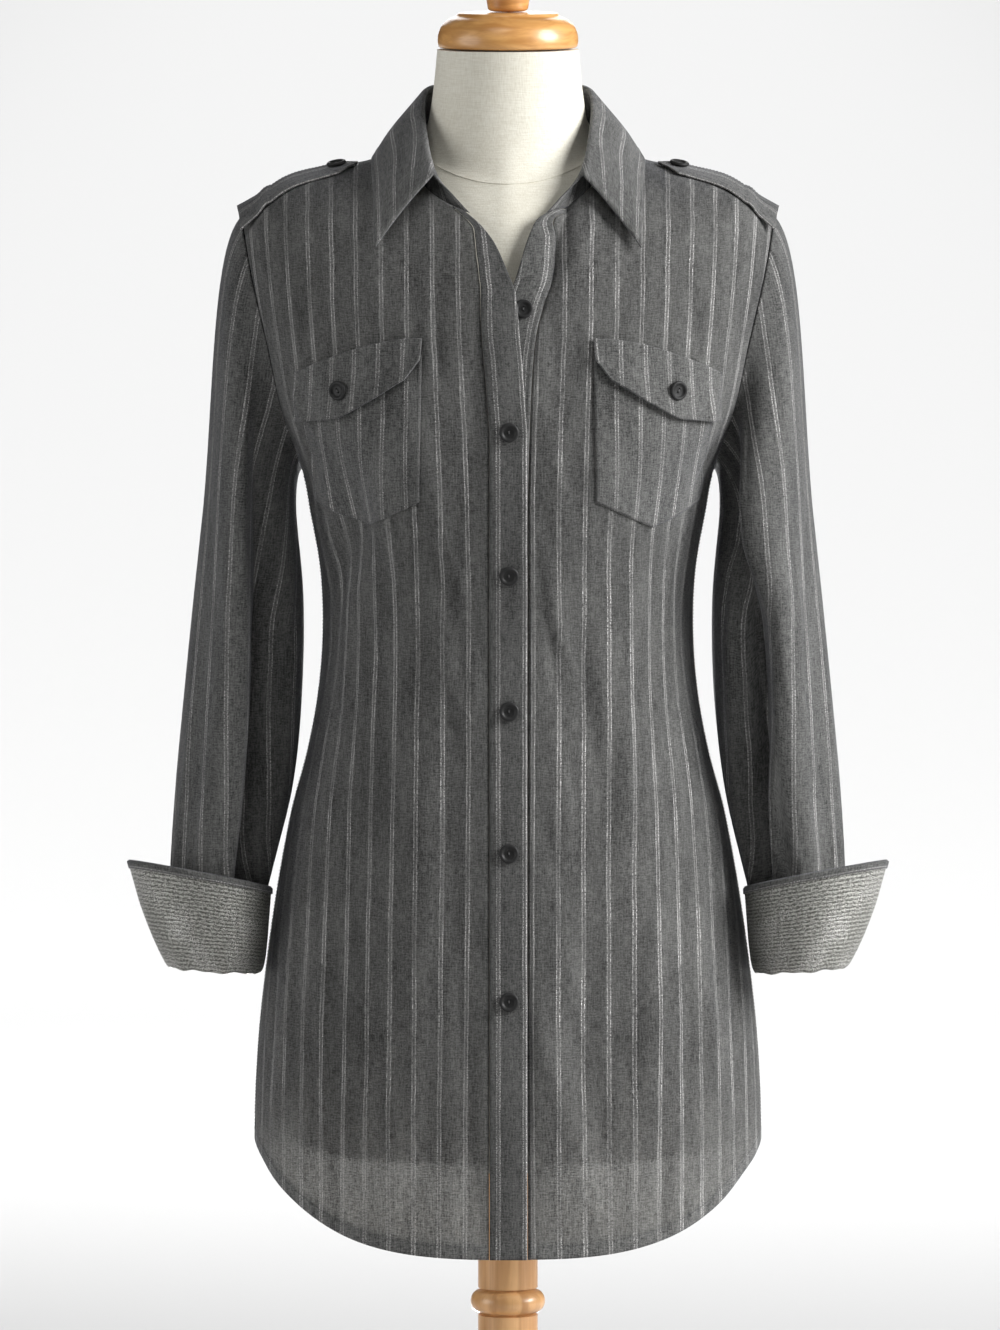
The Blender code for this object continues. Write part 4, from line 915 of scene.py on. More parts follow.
# %% Cut coordinates
# Height, and where the first stripe of the right front, of the left front, and of the back lies.
GRAIN = [
    (0.380, 0.0320, 0.0190), (0.482, 0.0320, 0.0185), (0.620, 0.0305, 0.0180), (0.855, 0.0290, 0.0190),
    (0.970, 0.0312, 0.0185), (1.084, 0.0362, 0.0225), (1.170, 0.0372, 0.0235), (1.260, 0.0375, 0.0235),
]  # fmt: skip
DART_DEPTH, DART_PLACE, DART_WIDTH = 0.009, 0.112, 0.035
DART_HEIGHTS = (0.855, 0.135)  # its middle and half its length
PINCH_DEPTH, PINCH_PLACE, PINCH_HEIGHTS = 0.010, 0.140, (0.850, 0.090)  # a shorter one near the side seam
CLOTH = 0.0009  # thickness of a single layer here
DOUBLE = 0.0015
WALL_START = 0.0003  # the shell's inner face lies this far out from the solid's


def up_the_cloth(points, heights):
    """Second flat coordinate: the height, and past the chest the length over the shoulder."""
    extra = lengths_along(points, 1) - (heights - heights[:, :1])
    chest = np.argmin(np.abs(heights - FRONT_ROLL), axis=1)
    extra = extra - np.take_along_axis(extra, chest[:, None], axis=1)
    return heights + np.maximum(extra, 0.0)


def front_cut(angle, heights, points, column):
    length = np.abs(around(angle, heights))
    dart = DART_DEPTH * hump((heights - DART_HEIGHTS[0]) / DART_HEIGHTS[1])
    pinch = PINCH_DEPTH * hump((heights - PINCH_HEIGHTS[0]) / PINCH_HEIGHTS[1])
    length = length + dart * ease(DART_PLACE, DART_PLACE + DART_WIDTH, length)
    length = length + pinch * ease(PINCH_PLACE, PINCH_PLACE + DART_WIDTH, length)
    return flat_place(length - along_table(GRAIN, heights, column), up_the_cloth(points, heights))


# %% Hem and seam swell
HEM_RISE, PUCKER_DEPTH, PUCKER_LENGTH = 0.0005, 0.00015, 0.011
FELL_RISE, FELL_WIDTH = 0.0005, 0.0050  # a felled seam's ridge, and its width to the outer stitches


def hem_ply(angle, heights):
    return ease(HEM_DEPTH + 0.0004, HEM_DEPTH - 0.0004, heights - hem_height(angle))


def hem_swell(angle, heights):
    """The turned hem is two more layers thick, and puckers a little at its stitches."""
    above = heights - hem_height(angle)
    pucker = PUCKER_DEPTH * np.sin(around(angle, heights) * 2 * math.pi / PUCKER_LENGTH)
    turned_up = HEM_RISE * ease(HEM_DEPTH + 0.0008, HEM_DEPTH - 0.0008, above)
    return turned_up + pucker * hump((above - HEM_DEPTH) / 0.006)


def seam_swell(distance):
    """A felled seam: a low flat ridge beside the seam line."""
    return FELL_RISE * ease(0.0065, 0.0052, distance) * ease(-0.0004, 0.0006, distance)


print("darts take up", DART_DEPTH * 1000, "mm a side")

# %% Fronts
OVERLAP_LIFT = 0.0016
OPEN_LIFT, OPEN_HEIGHT, OPEN_REACH = 0.0045, 1.100, 0.075  # where it is unbuttoned, it stands off more


def open_lift(height):
    return OVERLAP_LIFT + OPEN_LIFT * hump((height - OPEN_HEIGHT) / OPEN_REACH)


def right_lift(angle, height):
    """The wearer's right front climbs to its placket."""
    x = surface(angle, height)[..., 0]
    seam = along_table(OVER_EDGE, height, 1) + strip_width(OVER_EDGE, height)
    return open_lift(height) * hump(np.maximum(-x - seam, 0.0) / 0.050)


def front_lift(angle, height):
    """How far a front's shell starts off the torso, with its folds."""
    lift = WALL_START + front_swell(angle, height)
    return lift + (right_lift(angle, height) if np.mean(angle) < 0 else 0.0)


def make_front(name, side, edge_table, column):
    angle, heights = front_layout(edge_table, 84)
    angle = angle * side
    to_side = np.abs(around(angle * 0 + 90, heights)) - np.abs(around(angle, heights))
    lift = front_lift(angle, heights) + hem_swell(angle, heights)
    lift = lift + np.where(heights < ARMPIT_HEIGHT, 0.3 * seam_swell(to_side), 0.0)
    points = off_torso(angle, heights, lift)
    points[:, -1, 1] -= SEAM_GAP / 2
    cut = front_cut(angle, heights, points, column)
    piece = cloth(name, points, cut, CLOTH, SINGLE_CLOTH, ply=hem_ply(angle, heights))
    declare(piece, cut, "hung", ["form_cover"], "shirting", name)
    return points


make_front("front_right", -1, OVER_EDGE, 1)
left_points = make_front("front_left", 1, UNDER_EDGE, 2)

# %% Placket and band
STRIP_COLUMNS = 15
STRIP_STRIPE = {-1: 0.0018, 1: 0.0022}  # from a strip's free edge to its first stripe, right and left


def no_lift(height):
    return height * 0.0


def make_strip(name, side, edge_table, thickness, lift_of):
    angle, heights = strip_layout(edge_table, STRIP_COLUMNS)
    angle = angle * side
    lift = WALL_START + front_swell(angle, heights) + lift_of(heights) + hem_swell(angle, heights)
    points = off_torso(angle, heights, lift)
    to_seam = np.linspace(1.0, 0.0, STRIP_COLUMNS)[:, None] * strip_width(edge_table, heights)
    cut = flat_place(PLACKET_WIDTH - to_seam - STRIP_STRIPE[side], up_the_cloth(points, heights))
    piece = cloth(name, points, cut, thickness, SHADED_PLACKET_CLOTH if side < 0 else DOUBLE_CLOTH, ply=1.0)
    declare(piece, cut, "hung", ["front_left" if side < 0 else "form_cover"], "shirting", name)
    return points


make_strip("placket", -1, OVER_EDGE, DOUBLE, open_lift)
band_points = make_strip("button_band", 1, UNDER_EDGE, CLOTH, no_lift)


def sew_strip(side, edge_table, share, lift_of, thickness):
    heights = np.linspace(FRONT_HEM + 0.004, 1.155, 700)
    angle = strip_angle(edge_table, share, heights) * side
    lift = WALL_START + front_swell(angle, heights) + lift_of(heights) + thickness
    sew(off_torso(angle, heights, lift), outward(angle, heights))


for share in (0.07, 0.80):
    sew_strip(-1, OVER_EDGE, share, open_lift, DOUBLE)
sew_strip(1, UNDER_EDGE, 0.92, no_lift, CLOTH)

# %% Back
def make_back():
    angle, heights, neck_end, part = back_layout(150)
    to_side = np.abs(around(angle, heights)) - np.abs(around(angle * 0 + 90, heights))
    lift = WALL_START + back_swell(angle, heights) + hem_swell(angle, heights)
    lift = lift + np.where(heights < ARMPIT_HEIGHT, seam_swell(to_side), 0.0)
    points = off_torso(angle, heights, lift)
    points[np.abs(part) > neck_end - 1e-6, -1, 1] += SEAM_GAP / 2
    cut = flat_place(around_back(angle, heights) + STRIPE_PITCH / 2, up_the_cloth(points, heights))
    piece = cloth("back", points, cut, CLOTH, SINGLE_CLOTH, ply=hem_ply(angle, heights))
    declare(piece, cut, "hung", ["form_cover"], "shirting", "back")
    return points, part


back_points, back_parts = make_back()

# %% Hem and side seam stitches
HEM_STITCH_INSET = 0.0015


def sew_on_body(angles, heights, lift):
    """A row on the outer face of single cloth that starts this far off the torso."""
    sew(off_torso(angles, heights, lift + CLOTH), outward(angles, heights))


def back_lift(angle, height):
    return WALL_START + back_swell(angle, height)


def sew_hem(angles, lift_of):
    heights = hem_height(angles) + HEM_DEPTH - HEM_STITCH_INSET
    sew_on_body(angles, heights, lift_of(angles, heights) + hem_swell(angles, heights))


for side, edge in ((-1, OVER_EDGE), (1, UNDER_EDGE)):
    first = float(strip_angle(edge, 1.03, np.array(FRONT_HEM)))
    sew_hem(side * np.linspace(first, 89.8, 300), front_lift)
    sew_hem(side * np.linspace(90.2, 179.9, 300), back_lift)
    heights = np.linspace(SIDE_HEM + 0.002, ARMPIT_HEIGHT - 0.003, 500)
    turn = np.degrees(FELL_WIDTH / along_table(TORSO, heights, 3))
    for share in (0.15, 1.0):
        angles = side * (90 + turn * share)
        sew_on_body(angles, heights, back_lift(angles, heights) + seam_swell(FELL_WIDTH * share))
stitch_mesh("body_stitches")

# %% [markdown]
# ## Sleeves
# A set-in sleeve is a tube that leaves the armhole seam and falls beside the body. Its folds run along it,
# deep where the arm would bend forward and at the armhole, where there is cloth to spare. The head is
# worked out as a curve from the seam to the first ring of the tube, so it meets the panels all round.

# %% Sleeve tables
# height, outer x, inner x, front y, back y
SLEEVE = [
    (0.612, 0.2539, 0.1911, -0.0648, 0.0088), (0.635, 0.2550, 0.1875, -0.0645, 0.0110),
    (0.665, 0.2556, 0.1805, -0.0640, 0.0165), (0.730, 0.2515, 0.1655, -0.063, 0.030),
    (0.800, 0.2450, 0.1575, -0.064, 0.044), (0.870, 0.2380, 0.1560, -0.065, 0.053),
    (0.930, 0.2315, 0.1610, -0.066, 0.060),
]  # fmt: skip
SLEEVE_TOP, SLEEVE_FOOT = 0.930, 0.612
SLEEVE_STRIPE = {-1: 0.0090, 1: 0.0060}  # from the outermost line to the first stripe, right and left
# angle round it (0 outside, 90 front), depth, half width in degrees, twist in degrees down its length
SLEEVE_FOLDS = [
    (38, -0.0022, 24, 12), (80, 0.0040, 26, -8), (212, 0.0030, 26, -12), (262, -0.0040, 26, 10),
    (310, 0.0028, 26, -10),
]  # fmt: skip
# The long fold down each sleeve's front, right and left: share of the way down, its angle, its depth, and
# the height of the crest beside it.
VALLEYS = {
    -1: [(0.0, 100, 0.017, 0.0), (0.20, 102, 0.024, 0.0), (0.42, 108, 0.027, 0.0), (0.62, 112, 0.026, 0.0),
         (0.85, 119, 0.020, 0.0), (1.0, 122, 0.006, 0.0)],
    1: [(0.0, 128, 0.022, 0.012), (0.05, 125, 0.022, 0.011), (0.14, 112, 0.022, 0.008),
        (0.25, 101, 0.023, 0.002), (0.45, 103, 0.025, 0.0), (0.65, 118, 0.023, 0.0), (0.85, 131, 0.018, 0.0),
        (1.0, 136, 0.006, 0.0)],
}  # fmt: skip
CREST_ANGLE, CREST_HALF_WIDTH = 14, 46
VALLEY_HALF_WIDTHS = {-1: (15, 58), 1: (15, 40)}  # in degrees, steep outside and long inside
# Small creases of a sleeve: angle and share of its length at both ends, depth, half width in degrees.
SLEEVE_CREASES = [
    (60, 0.02, 70, 0.40, 0.0016, 9), (100, 0.05, 86, 0.55, -0.0020, 8), (118, 0.10, 104, 0.70, 0.0018, 8),
    (30, 0.20, 22, 0.80, 0.0012, 8), (72, 0.45, 60, 0.98, -0.0016, 9), (96, 0.60, 88, 1.00, 0.0014, 8),
    (140, 0.05, 150, 0.60, 0.0016, 9), (160, 0.02, 140, 0.35, -0.0018, 8),
    (340, 0.15, 350, 0.75, -0.0012, 9), (300, 0.05, 290, 0.60, 0.0014, 9),
    (250, 0.10, 240, 0.70, 0.0016, 9), (225, 0.05, 232, 0.50, -0.0014, 9),
    (12, 0.55, 5, 1.00, -0.0012, 8), (45, 0.60, 40, 1.00, 0.0012, 7), (280, 0.55, 272, 1.00, -0.0013, 9),
    (320, 0.50, 326, 1.00, 0.0012, 9), (200, 0.40, 205, 1.00, -0.0014, 9),
    (175, 0.30, 165, 0.95, 0.0014, 9),
]  # fmt: skip
HEAD_ROWS, TUBE_ROWS, SLEEVE_COLUMNS = 44, 96, 180
HEAD_CENTRE = np.array([0.180, 0.0, (TIP_HEIGHT + ARMPIT_HEIGHT) / 2])


# %% Sleeve tube
def sleeve_creases(turn, along):
    total = np.zeros(np.broadcast(turn, along).shape)
    for t0, s0, t1, s1, depth, half_width in SLEEVE_CREASES:
        part = (along - s0) / (s1 - s0)
        away = from_middle(turn, mix(t0, t1, part))
        total += depth * hump(away / half_width) * hump(2 * part - 1) * (np.abs(part - 0.5) < 0.5)
    return total


def sleeve_tube(turn, height, side=1):
    """Points of the sleeve below the armpit: turn 0 is its outside, 90 its front."""
    outer, inner, front, behind = (along_table(SLEEVE, height, column) for column in (1, 2, 3, 4))
    along = (SLEEVE_TOP - height) / (SLEEVE_TOP - SLEEVE_FOOT)
    fold = np.zeros(np.broadcast(turn, height).shape)
    for middle, depth, half_width, twist in SLEEVE_FOLDS:
        away = from_middle(turn, middle + twist * along)
        fading = 1 - 0.8 * ease(0.72, 1.0, along)
        fold += depth * hump(away / half_width) * ease(-0.30, 0.15, along) * fading
    middle, depth, crest = (along_table(VALLEYS[side], along, column) for column in (1, 2, 3))
    away = from_middle(turn, middle)
    fold -= depth * hump(away / np.where(away < 0, *VALLEY_HALF_WIDTHS[side]))
    fold += crest * hump((away + CREST_ANGLE) / CREST_HALF_WIDTH)
    fold += sleeve_creases(turn + 6 * side, along) * (0.25 + 0.75 * ease(0.0, 0.15, along))
    across, ahead = circle(turn)
    x = (outer + inner) / 2 + ((outer - inner) / 2 + fold) * across
    y = (front + behind) / 2 - ((behind - front) / 2 + fold) * ahead
    return np.stack(np.broadcast_arrays(x, y, height), axis=-1)


# %% Sleeve head
SEAM_LEVER, TUBE_LEVER = 0.40, 1.1  # how long the head keeps the direction it has at either end
TUBE_STEP = 0.01


def sleeve_head(turn, side=1):
    """Points from the armhole seam down to the first ring of the tube, a row for each turn."""
    angle, height = armhole(turn % 360)
    seam = off_torso(angle, height, body_fold(side * angle, height) + 0.0010)
    inward = HEAD_CENTRE - seam
    inward[:, 0] = 0.0
    seam = seam + unit(inward) * 0.0016 + np.array([0.0004, 0.0, 0.0])
    end = sleeve_tube(turn, np.full(turn.shape, SLEEVE_TOP), side)
    span = np.linalg.norm(end - seam, axis=-1, keepdims=True)
    upwards, ahead = circle(turn)
    leave = np.stack([np.full(turn.shape, 0.75), 0.12 * ahead, -0.10 - 0.55 * (1 + upwards) / 2], axis=-1)
    leave = unit(leave) * SEAM_LEVER * span
    below = sleeve_tube(turn, np.full(turn.shape, SLEEVE_TOP - TUBE_STEP), side)
    arrive = (below - end) / TUBE_STEP * span * TUBE_LEVER
    t = (np.arange(HEAD_ROWS) / HEAD_ROWS)[None, :, None]
    return hermite(*(item[:, None, :] for item in (seam, leave, end, arrive)), t)


# %% Sleeves
SLEEVE_MIDDLE_X = 0.205


def hung_lengths(points):
    """Length round the sleeve from its outermost line at each point's own height, as its stripes hang."""
    outside = len(points) // 2
    falling = np.minimum.accumulate(points[..., 2], axis=1)
    levels = np.linspace(falling.min(), falling.max(), 200)
    rings = np.stack([
        np.stack([np.interp(levels, z[::-1], column[::-1, axis]) for axis in (0, 1)], axis=-1)
        for z, column in zip(falling, points)
    ])  # fmt: skip
    lengths = lengths_along(rings, 0)
    lengths = lengths - lengths[outside]
    return np.stack([np.interp(z, levels, length) for z, length in zip(falling, lengths)])


def make_sleeve(side, name):
    turn = np.linspace(180.0, 540.0, SLEEVE_COLUMNS + 1)
    heights = np.linspace(SLEEVE_TOP, SLEEVE_FOOT, TUBE_ROWS + 1)
    tube = sleeve_tube(turn[:, None], heights[None, :], side)
    points = np.concatenate([sleeve_head(turn, side), tube], axis=1)
    points[-1] = points[0]
    down = -lengths_along(points, 1)
    cut = flat_place(hung_lengths(points) - SLEEVE_STRIPE[side], down - down[:, HEAD_ROWS, None])

    def from_sleeve(at):
        return (at - np.array([SLEEVE_MIDDLE_X * side, 0.0, 0.0])) * LEVEL

    points = points * (side, 1.0, 1.0)
    piece = cloth("sleeve_" + name, points, cut, CLOTH, SHADED_SLEEVE_CLOTH, from_sleeve, weld=True)
    declare(piece, cut, "hung", ["front_" + name, "back"], "shirting", "sleeve_" + name)


for side, name in SIDES:
    make_sleeve(side, name)

# %% [markdown]
# ## Cuffs
# The cuffs are wide, turned back and flaring, so their facing is what shows: a silver metallic cloth with
# fine level ribs. A strip of the shirting binds the upper rim, and a row of stitches runs a finger's width
# above the fold. The fold itself is a little uneven, as in stiff cloth that was folded by hand.

# %% Lame finish
RIB_PITCH = 0.0029


def lame():
    """Rows of short metallic dashes on a dark ground, with painted glints as brighter specks in places."""
    made, tree, shader = new_material("silver_lame")
    u, v = cut_place(tree)
    wander = calc(tree, "MULTIPLY", calc(tree, "SUBTRACT", noise(tree, u, v, 60, 60, 2), 0.5), 0.0022)
    rib = calc(tree, "SINE", calc(tree, "MULTIPLY", calc(tree, "ADD", v, wander), 2 * math.pi / RIB_PITCH))
    dash = noise(tree, u, v, 420, 1100, 2, 0.7)
    fine = noise(tree, u, v, 1300, 1300, 1)
    share = spread(tree, weighed(tree, (rib, 0.11), (dash, 1.0), (fine, 0.5)), 0.55, 1.02)
    colour = blend_colours(tree, share, (0.066, 0.066, 0.057, 1.0), (0.49, 0.49, 0.455, 1.0))
    # painted glints: near-white specks where the metallic dashes would catch the light
    painted_glints = spread(tree, fine, 0.58, 0.68)
    painted_glints = calc(tree, "MULTIPLY", painted_glints, spread(tree, noise(tree, u, v, 34, 30, 2), 0.42, 0.62, 0.10, 1.0))
    colour = blend_colours(tree, painted_glints, colour, grey(0.95, 0.02))
    tree.links.new(colour, shader.inputs["Base Color"])
    tree.links.new(spread(tree, share, 0.0, 1.0, 0.20, 0.55), shader.inputs["Metallic"])
    tree.links.new(spread(tree, painted_glints, 0.0, 1.0, 0.50, 0.25), shader.inputs["Roughness"])
    relief = weighed(tree, (rib, 0.5), (dash, 1.0), (fine, 1.2))
    tree.links.new(bump(tree, relief, 0.0003, 0.8), shader.inputs["Normal"])
    return made


SILVER_LAME = lame()
print("ribs every", RIB_PITCH * 1000, "mm")

# %% Cuffs
# From the seam round the fold up to the rim: height, middle x, half width, half depth, tilt outwards.
CUFF = [
    (0.6112, 0.2225, 0.0312, 0.0366, 0.02), (0.5990, 0.2225, 0.0312, 0.0368, 0.04),
    (0.5925, 0.2226, 0.0324, 0.0380, 0.06), (0.5918, 0.2230, 0.0350, 0.0404, 0.07),
    (0.5985, 0.2240, 0.0384, 0.0430, 0.09), (0.6130, 0.2264, 0.0430, 0.0462, 0.11),
    (0.6325, 0.2294, 0.0478, 0.0496, 0.14), (0.6488, 0.2312, 0.0510, 0.0516, 0.17),
    (0.6620, 0.2326, 0.0535, 0.0530, 0.19),
]  # fmt: skip
CUFF_Y = -0.0280
FOLD_LEAN, RIM_LEAN = 0.05, 0.13  # how much higher the front of the cuff sits than its back, at fold and rim
CUFF_ROWS, CUFF_COLUMNS = 64, 150
CUFF_X = 0.2235
BINDING_THICKNESS, BINDING_OUT = 0.0006, 0.0013
BINDING_START, CUFF_STITCHES, BINDING_STITCHES = 7.66, 4.25, 7.72  # places in the table


def cuff_points(turn, place, side, out=0.0):
    """Points of the cuff at this turn and this place in its table (0 to 8), moved out by out."""
    rows = [(i, *row) for i, row in enumerate(CUFF)]
    height, x, half_width, half_depth, tilt = (along_table(rows, place, column) for column in range(1, 6))
    wave = 0.0006 * np.sin(np.radians(turn * 7 + 40 * side)) + 0.0004 * np.sin(np.radians(turn * 13))
    wave = wave * hump((place - 2.6) / 2.4)
    dent = 0.0012 * np.sin(np.radians(turn * 3 + 70)) * ease(3.0, 8.0, place)
    across, ahead = circle(turn)
    half_width, half_depth = half_width + out + dent, half_depth + out + dent
    lean = mix(FOLD_LEAN, RIM_LEAN, ease(3.0, 8.0, place))
    return np.stack([
        side * (x + half_width * across), CUFF_Y - half_depth * ahead,
        height + wave + tilt * half_width * across + lean * half_depth * ahead,
    ], axis=-1)  # fmt: skip


# %% Cuffs and bindings
def cuff_spoke(at, side):
    """Level direction out from the middle of a cuff."""
    return (at - np.array([CUFF_X * side, CUFF_Y, 0.0])) * LEVEL


def from_cuff(side):
    def facing(at):
        return cuff_spoke(at, side) * np.maximum(at[..., 2:] - 0.615, 0.0)

    return facing


def make_cuff(side, name):
    turn = np.linspace(180.0, 540.0, CUFF_COLUMNS + 1)[:, None]
    place = np.linspace(0.0, 8.0, CUFF_ROWS + 1)[None, :]
    points = cuff_points(turn, place, side)
    points[-1] = points[0]
    along, girth = lengths_along(points, 1), lengths_along(points[:, CUFF_ROWS // 2], 0)
    cut = flat_place(girth[:, None], along.mean(0))
    piece = cloth("cuff_" + name, points, cut, CLOTH, SILVER_LAME, from_cuff(side), weld=True,
                  under=DOUBLE_CLOTH)  # fmt: skip
    declare(piece, cut, "folded", ["sleeve_" + name], "cuff_lame", "cuff_" + name)
    rim = np.linspace(BINDING_START, 8.0, 5)
    outer = cuff_points(turn, rim[None, :], side, BINDING_OUT)
    inner = cuff_points(turn, rim[None, ::-1], side, -0.0008)
    over = mix(outer[:, -1:], inner[:, :1], 0.5) + np.array([0.0, 0.0, 0.0012])
    binding = np.concatenate([outer, over, inner], axis=1)
    binding[-1] = binding[0]
    strip = flat_place(girth[:, None], lengths_along(binding, 1).mean(0))
    rim_piece = cloth("cuff_binding_" + name, binding, strip, BINDING_THICKNESS, BINDING_CLOTH,
                      from_cuff(side), weld=True)  # fmt: skip
    declare(rim_piece, strip, "folded", ["cuff_" + name], "shirting")
    for at, out in ((CUFF_STITCHES, CLOTH + 0.0001), (BINDING_STITCHES, BINDING_OUT + BINDING_THICKNESS)):
        line = cuff_points(turn, np.full_like(turn, at), side, out)[:, 0]
        sew(line, unit(cuff_spoke(line, side)))
    stitch_mesh("cuff_stitches_" + name)


BINDING_CLOTH = shirting("binding_shirting", 0.80, turned=True)
for side, name in SIDES:
    make_cuff(side, name)

# %% [markdown]
# ## Collar
# A shirt collar is two pieces: a stand that rises from the neckline, and a leaf that folds over it and
# rests on the shoulders. The table gives the fold line and the leaf's outer edge from the middle of the
# back round to the point. Both are worked out for one half and mirrored.

# %% Collar tables and lines
# Share of the way from the middle of the back to the front, the fold's x, y and height, the edge's x and y.
COLLAR = [
    (0.00, 0.0000, 0.0745, 1.2560, 0.0000, 0.0790), (0.22, 0.0400, 0.0600, 1.2570, 0.0500, 0.0620),
    (0.42, 0.0605, 0.0260, 1.2560, 0.0880, 0.0300), (0.60, 0.0640, -0.0130, 1.2430, 0.1005, -0.0120),
    (0.80, 0.0615, -0.0500, 1.2220, 0.0995, -0.0580), (1.00, 0.0565, -0.0830, 1.1960, 0.0978, -0.0950),
]  # fmt: skip
FOLD_DEPTH, LEAF_CLEARANCE = 0.004, 0.0042
LEAF_STRIPE = 0.0060  # from the leaf's outer edge to its first stripe, which runs along it
COLLAR_COLUMNS = 56


def shoulder_height(x, y):
    """Height of the shoulders at this place, seen from above."""
    x, y = np.broadcast_arrays(np.asarray(x, float), np.asarray(y, float))
    top = ridge_height(x)
    front = solve(np.full(x.shape, 1.03), top, lambda h: surface(angle_at(x, h), h)[..., 1] < y)
    behind = solve(np.full(x.shape, 1.06), top, lambda h: surface(180 - angle_at(x, h), h)[..., 1] > y)
    return np.where(y < RIDGE_Y, front, behind)


def over_shoulder(x, y, lift):
    """Points of the shoulders, and the direction straight up from them."""
    step = 0.002
    x, y = np.broadcast_arrays(np.asarray(x, float), np.asarray(y, float))
    across = (shoulder_height(x + step, y) - shoulder_height(x - step, y)) / (2 * step)
    ahead = (shoulder_height(x, y + step) - shoulder_height(x, y - step)) / (2 * step)
    normal = unit(np.stack([-across, -ahead, np.ones_like(across)], axis=-1))
    place = np.stack([x, y, shoulder_height(x, y)], axis=-1)
    return place + normal * np.asarray(lift)[..., None], normal


# %% Neck seam and fold line
def neck_seam():
    """The neckline from the middle of the back to the front edge, on the panels' own corners."""
    behind = back_points[(back_parts > -1e-6) & (back_points[:, -1, 0] < NECK_SIDE_X + 0.0005), -1]
    first = HEM_ROWS + LOW_ROWS + int(HIGH_ROWS * STRIP_SHARE)
    front = left_points[0, first:][::-1]
    return np.concatenate([behind, front, band_points[::-1, -1]])


seam_line = neck_seam()
seam_length = lengths_along(seam_line, 0)
shares = np.linspace(0.0, 1.0, COLLAR_COLUMNS + 1)
seam = along_line(shares * seam_length[-1], seam_length, seam_line)
fold = np.stack([along_table(COLLAR, shares, column) for column in (1, 2, 3)], axis=-1)
neck_inward = unit(-seam * LEVEL)
seam = seam + neck_inward * 0.0004 + np.array([0.0, 0.0, 0.0004])
rise = unit(fold - seam)
print("neck seam", round(2 * float(seam_length[-1]), 3), "m")

# %% Collar stand and leaf
def both_sides(half):
    """A half grid from the middle of the back, mirrored to a whole one."""
    return np.concatenate([(half * np.array([-1.0, 1.0, 1.0]))[:0:-1], half])


def to_neck(at):
    return -at * LEVEL


def make_stand():
    join = fold - rise * (FOLD_DEPTH + 0.0004)
    steps = np.linspace(0.0, 1.0, 12)[None, :, None]
    half = mix(seam[:, None, :], join[:, None, :], steps)
    half = half + neck_inward[:, None, :] * 0.0006 * np.sin(math.pi * steps)
    points = both_sides(half)
    around_neck = lengths_along(points[:, 0], 0)
    up = lengths_along(points, 1)
    cut = flat_place((around_neck - around_neck[-1] / 2)[:, None], up)
    piece = cloth("collar_stand", points, cut, CLOTH, DOUBLE_CLOTH, to_neck, ply=1.0)
    declare(piece, cut, "folded", ["back", "front_left", "front_right"], "shirting", "collar_stand")


def leaf_profile():
    """The leaf from inside the neck over the fold to its edge, a row of points for each share."""
    edge, normal = over_shoulder(along_table(COLLAR, shares, 4), along_table(COLLAR, shares, 5),
                                 LEAF_CLEARANCE + 0.0025 * ease(0.6, 1.0, shares))  # fmt: skip
    join = fold - rise * FOLD_DEPTH
    turned = fold - neck_inward * 0.0022 - np.array([0.0, 0.0, 0.0006])
    across = edge - fold
    swell = unit(np.cross(across, np.cross(rise, across)))
    rows = [mix(join, fold, t) for t in (0.0, 0.35, 0.7)]
    top = (fold + turned) / 2 + unit(rise + np.array([0.0, 0.0, 1.0])) * 0.0006
    rows += [fold, top, turned]
    for t in np.linspace(0.0, 1.0, 34)[1:]:
        ripple = 0.0010 * np.sin(shares * 21 + 1.3) * np.sin(math.pi * min(t * 1.2, 1.0))
        arch = 0.0050 - 0.0030 * ease(0.6, 1.0, shares)
        bow = (arch * math.sin(math.pi * t) * (1 - 0.3 * t) + ripple)[:, None]
        rows.append(mix(turned, edge, t) + swell * bow)
    return np.stack(rows, axis=1)


def make_leaf():
    half = leaf_profile()
    points = both_sides(half)
    down = lengths_along(points, 1)
    along_edge = lengths_along(points[:, 20], 0)
    from_edge = down - down[:, -1:] + LEAF_STRIPE
    cut = flat_place(from_edge, along_edge[:, None])
    piece = cloth("collar_leaf", points, cut, DOUBLE, DOUBLE_CLOTH, ply=1.0)
    declare(piece, cut, "folded", ["back", "front_left", "front_right"], "shirting", "collar_leaf")
    return points


make_stand()
leaf = make_leaf()

# %% Collar stitches
STITCH_INSET = 4  # rows of the leaf's grid from its edge


def upper_face(points, thickness):
    """Outer face of the leaf, and its normals."""
    normals = unit(np.cross(np.gradient(points, axis=0), np.gradient(points, axis=1)))
    normals = normals * np.sign(np.mean(normals[..., 2]))
    return points + normals * thickness, normals


face, normals = upper_face(leaf, DOUBLE)
sew(face[2:-2, -STITCH_INSET], normals[2:-2, -STITCH_INSET])
for column in (2, -3):
    sew(face[column, 8:-STITCH_INSET], normals[column, 8:-STITCH_INSET])
stitch_mesh("collar_stitches")

# %% [markdown]
# ## Chest pockets, flaps and shoulder straps
# These are patches: points of the panel, moved out. A pocket takes the panel's own swell, so a crease in
# the front goes on under it and shows in it. The flaps stand off a little at their lower edge, and the
# straps lie over the shoulder seams, straight across the top of the sleeves.

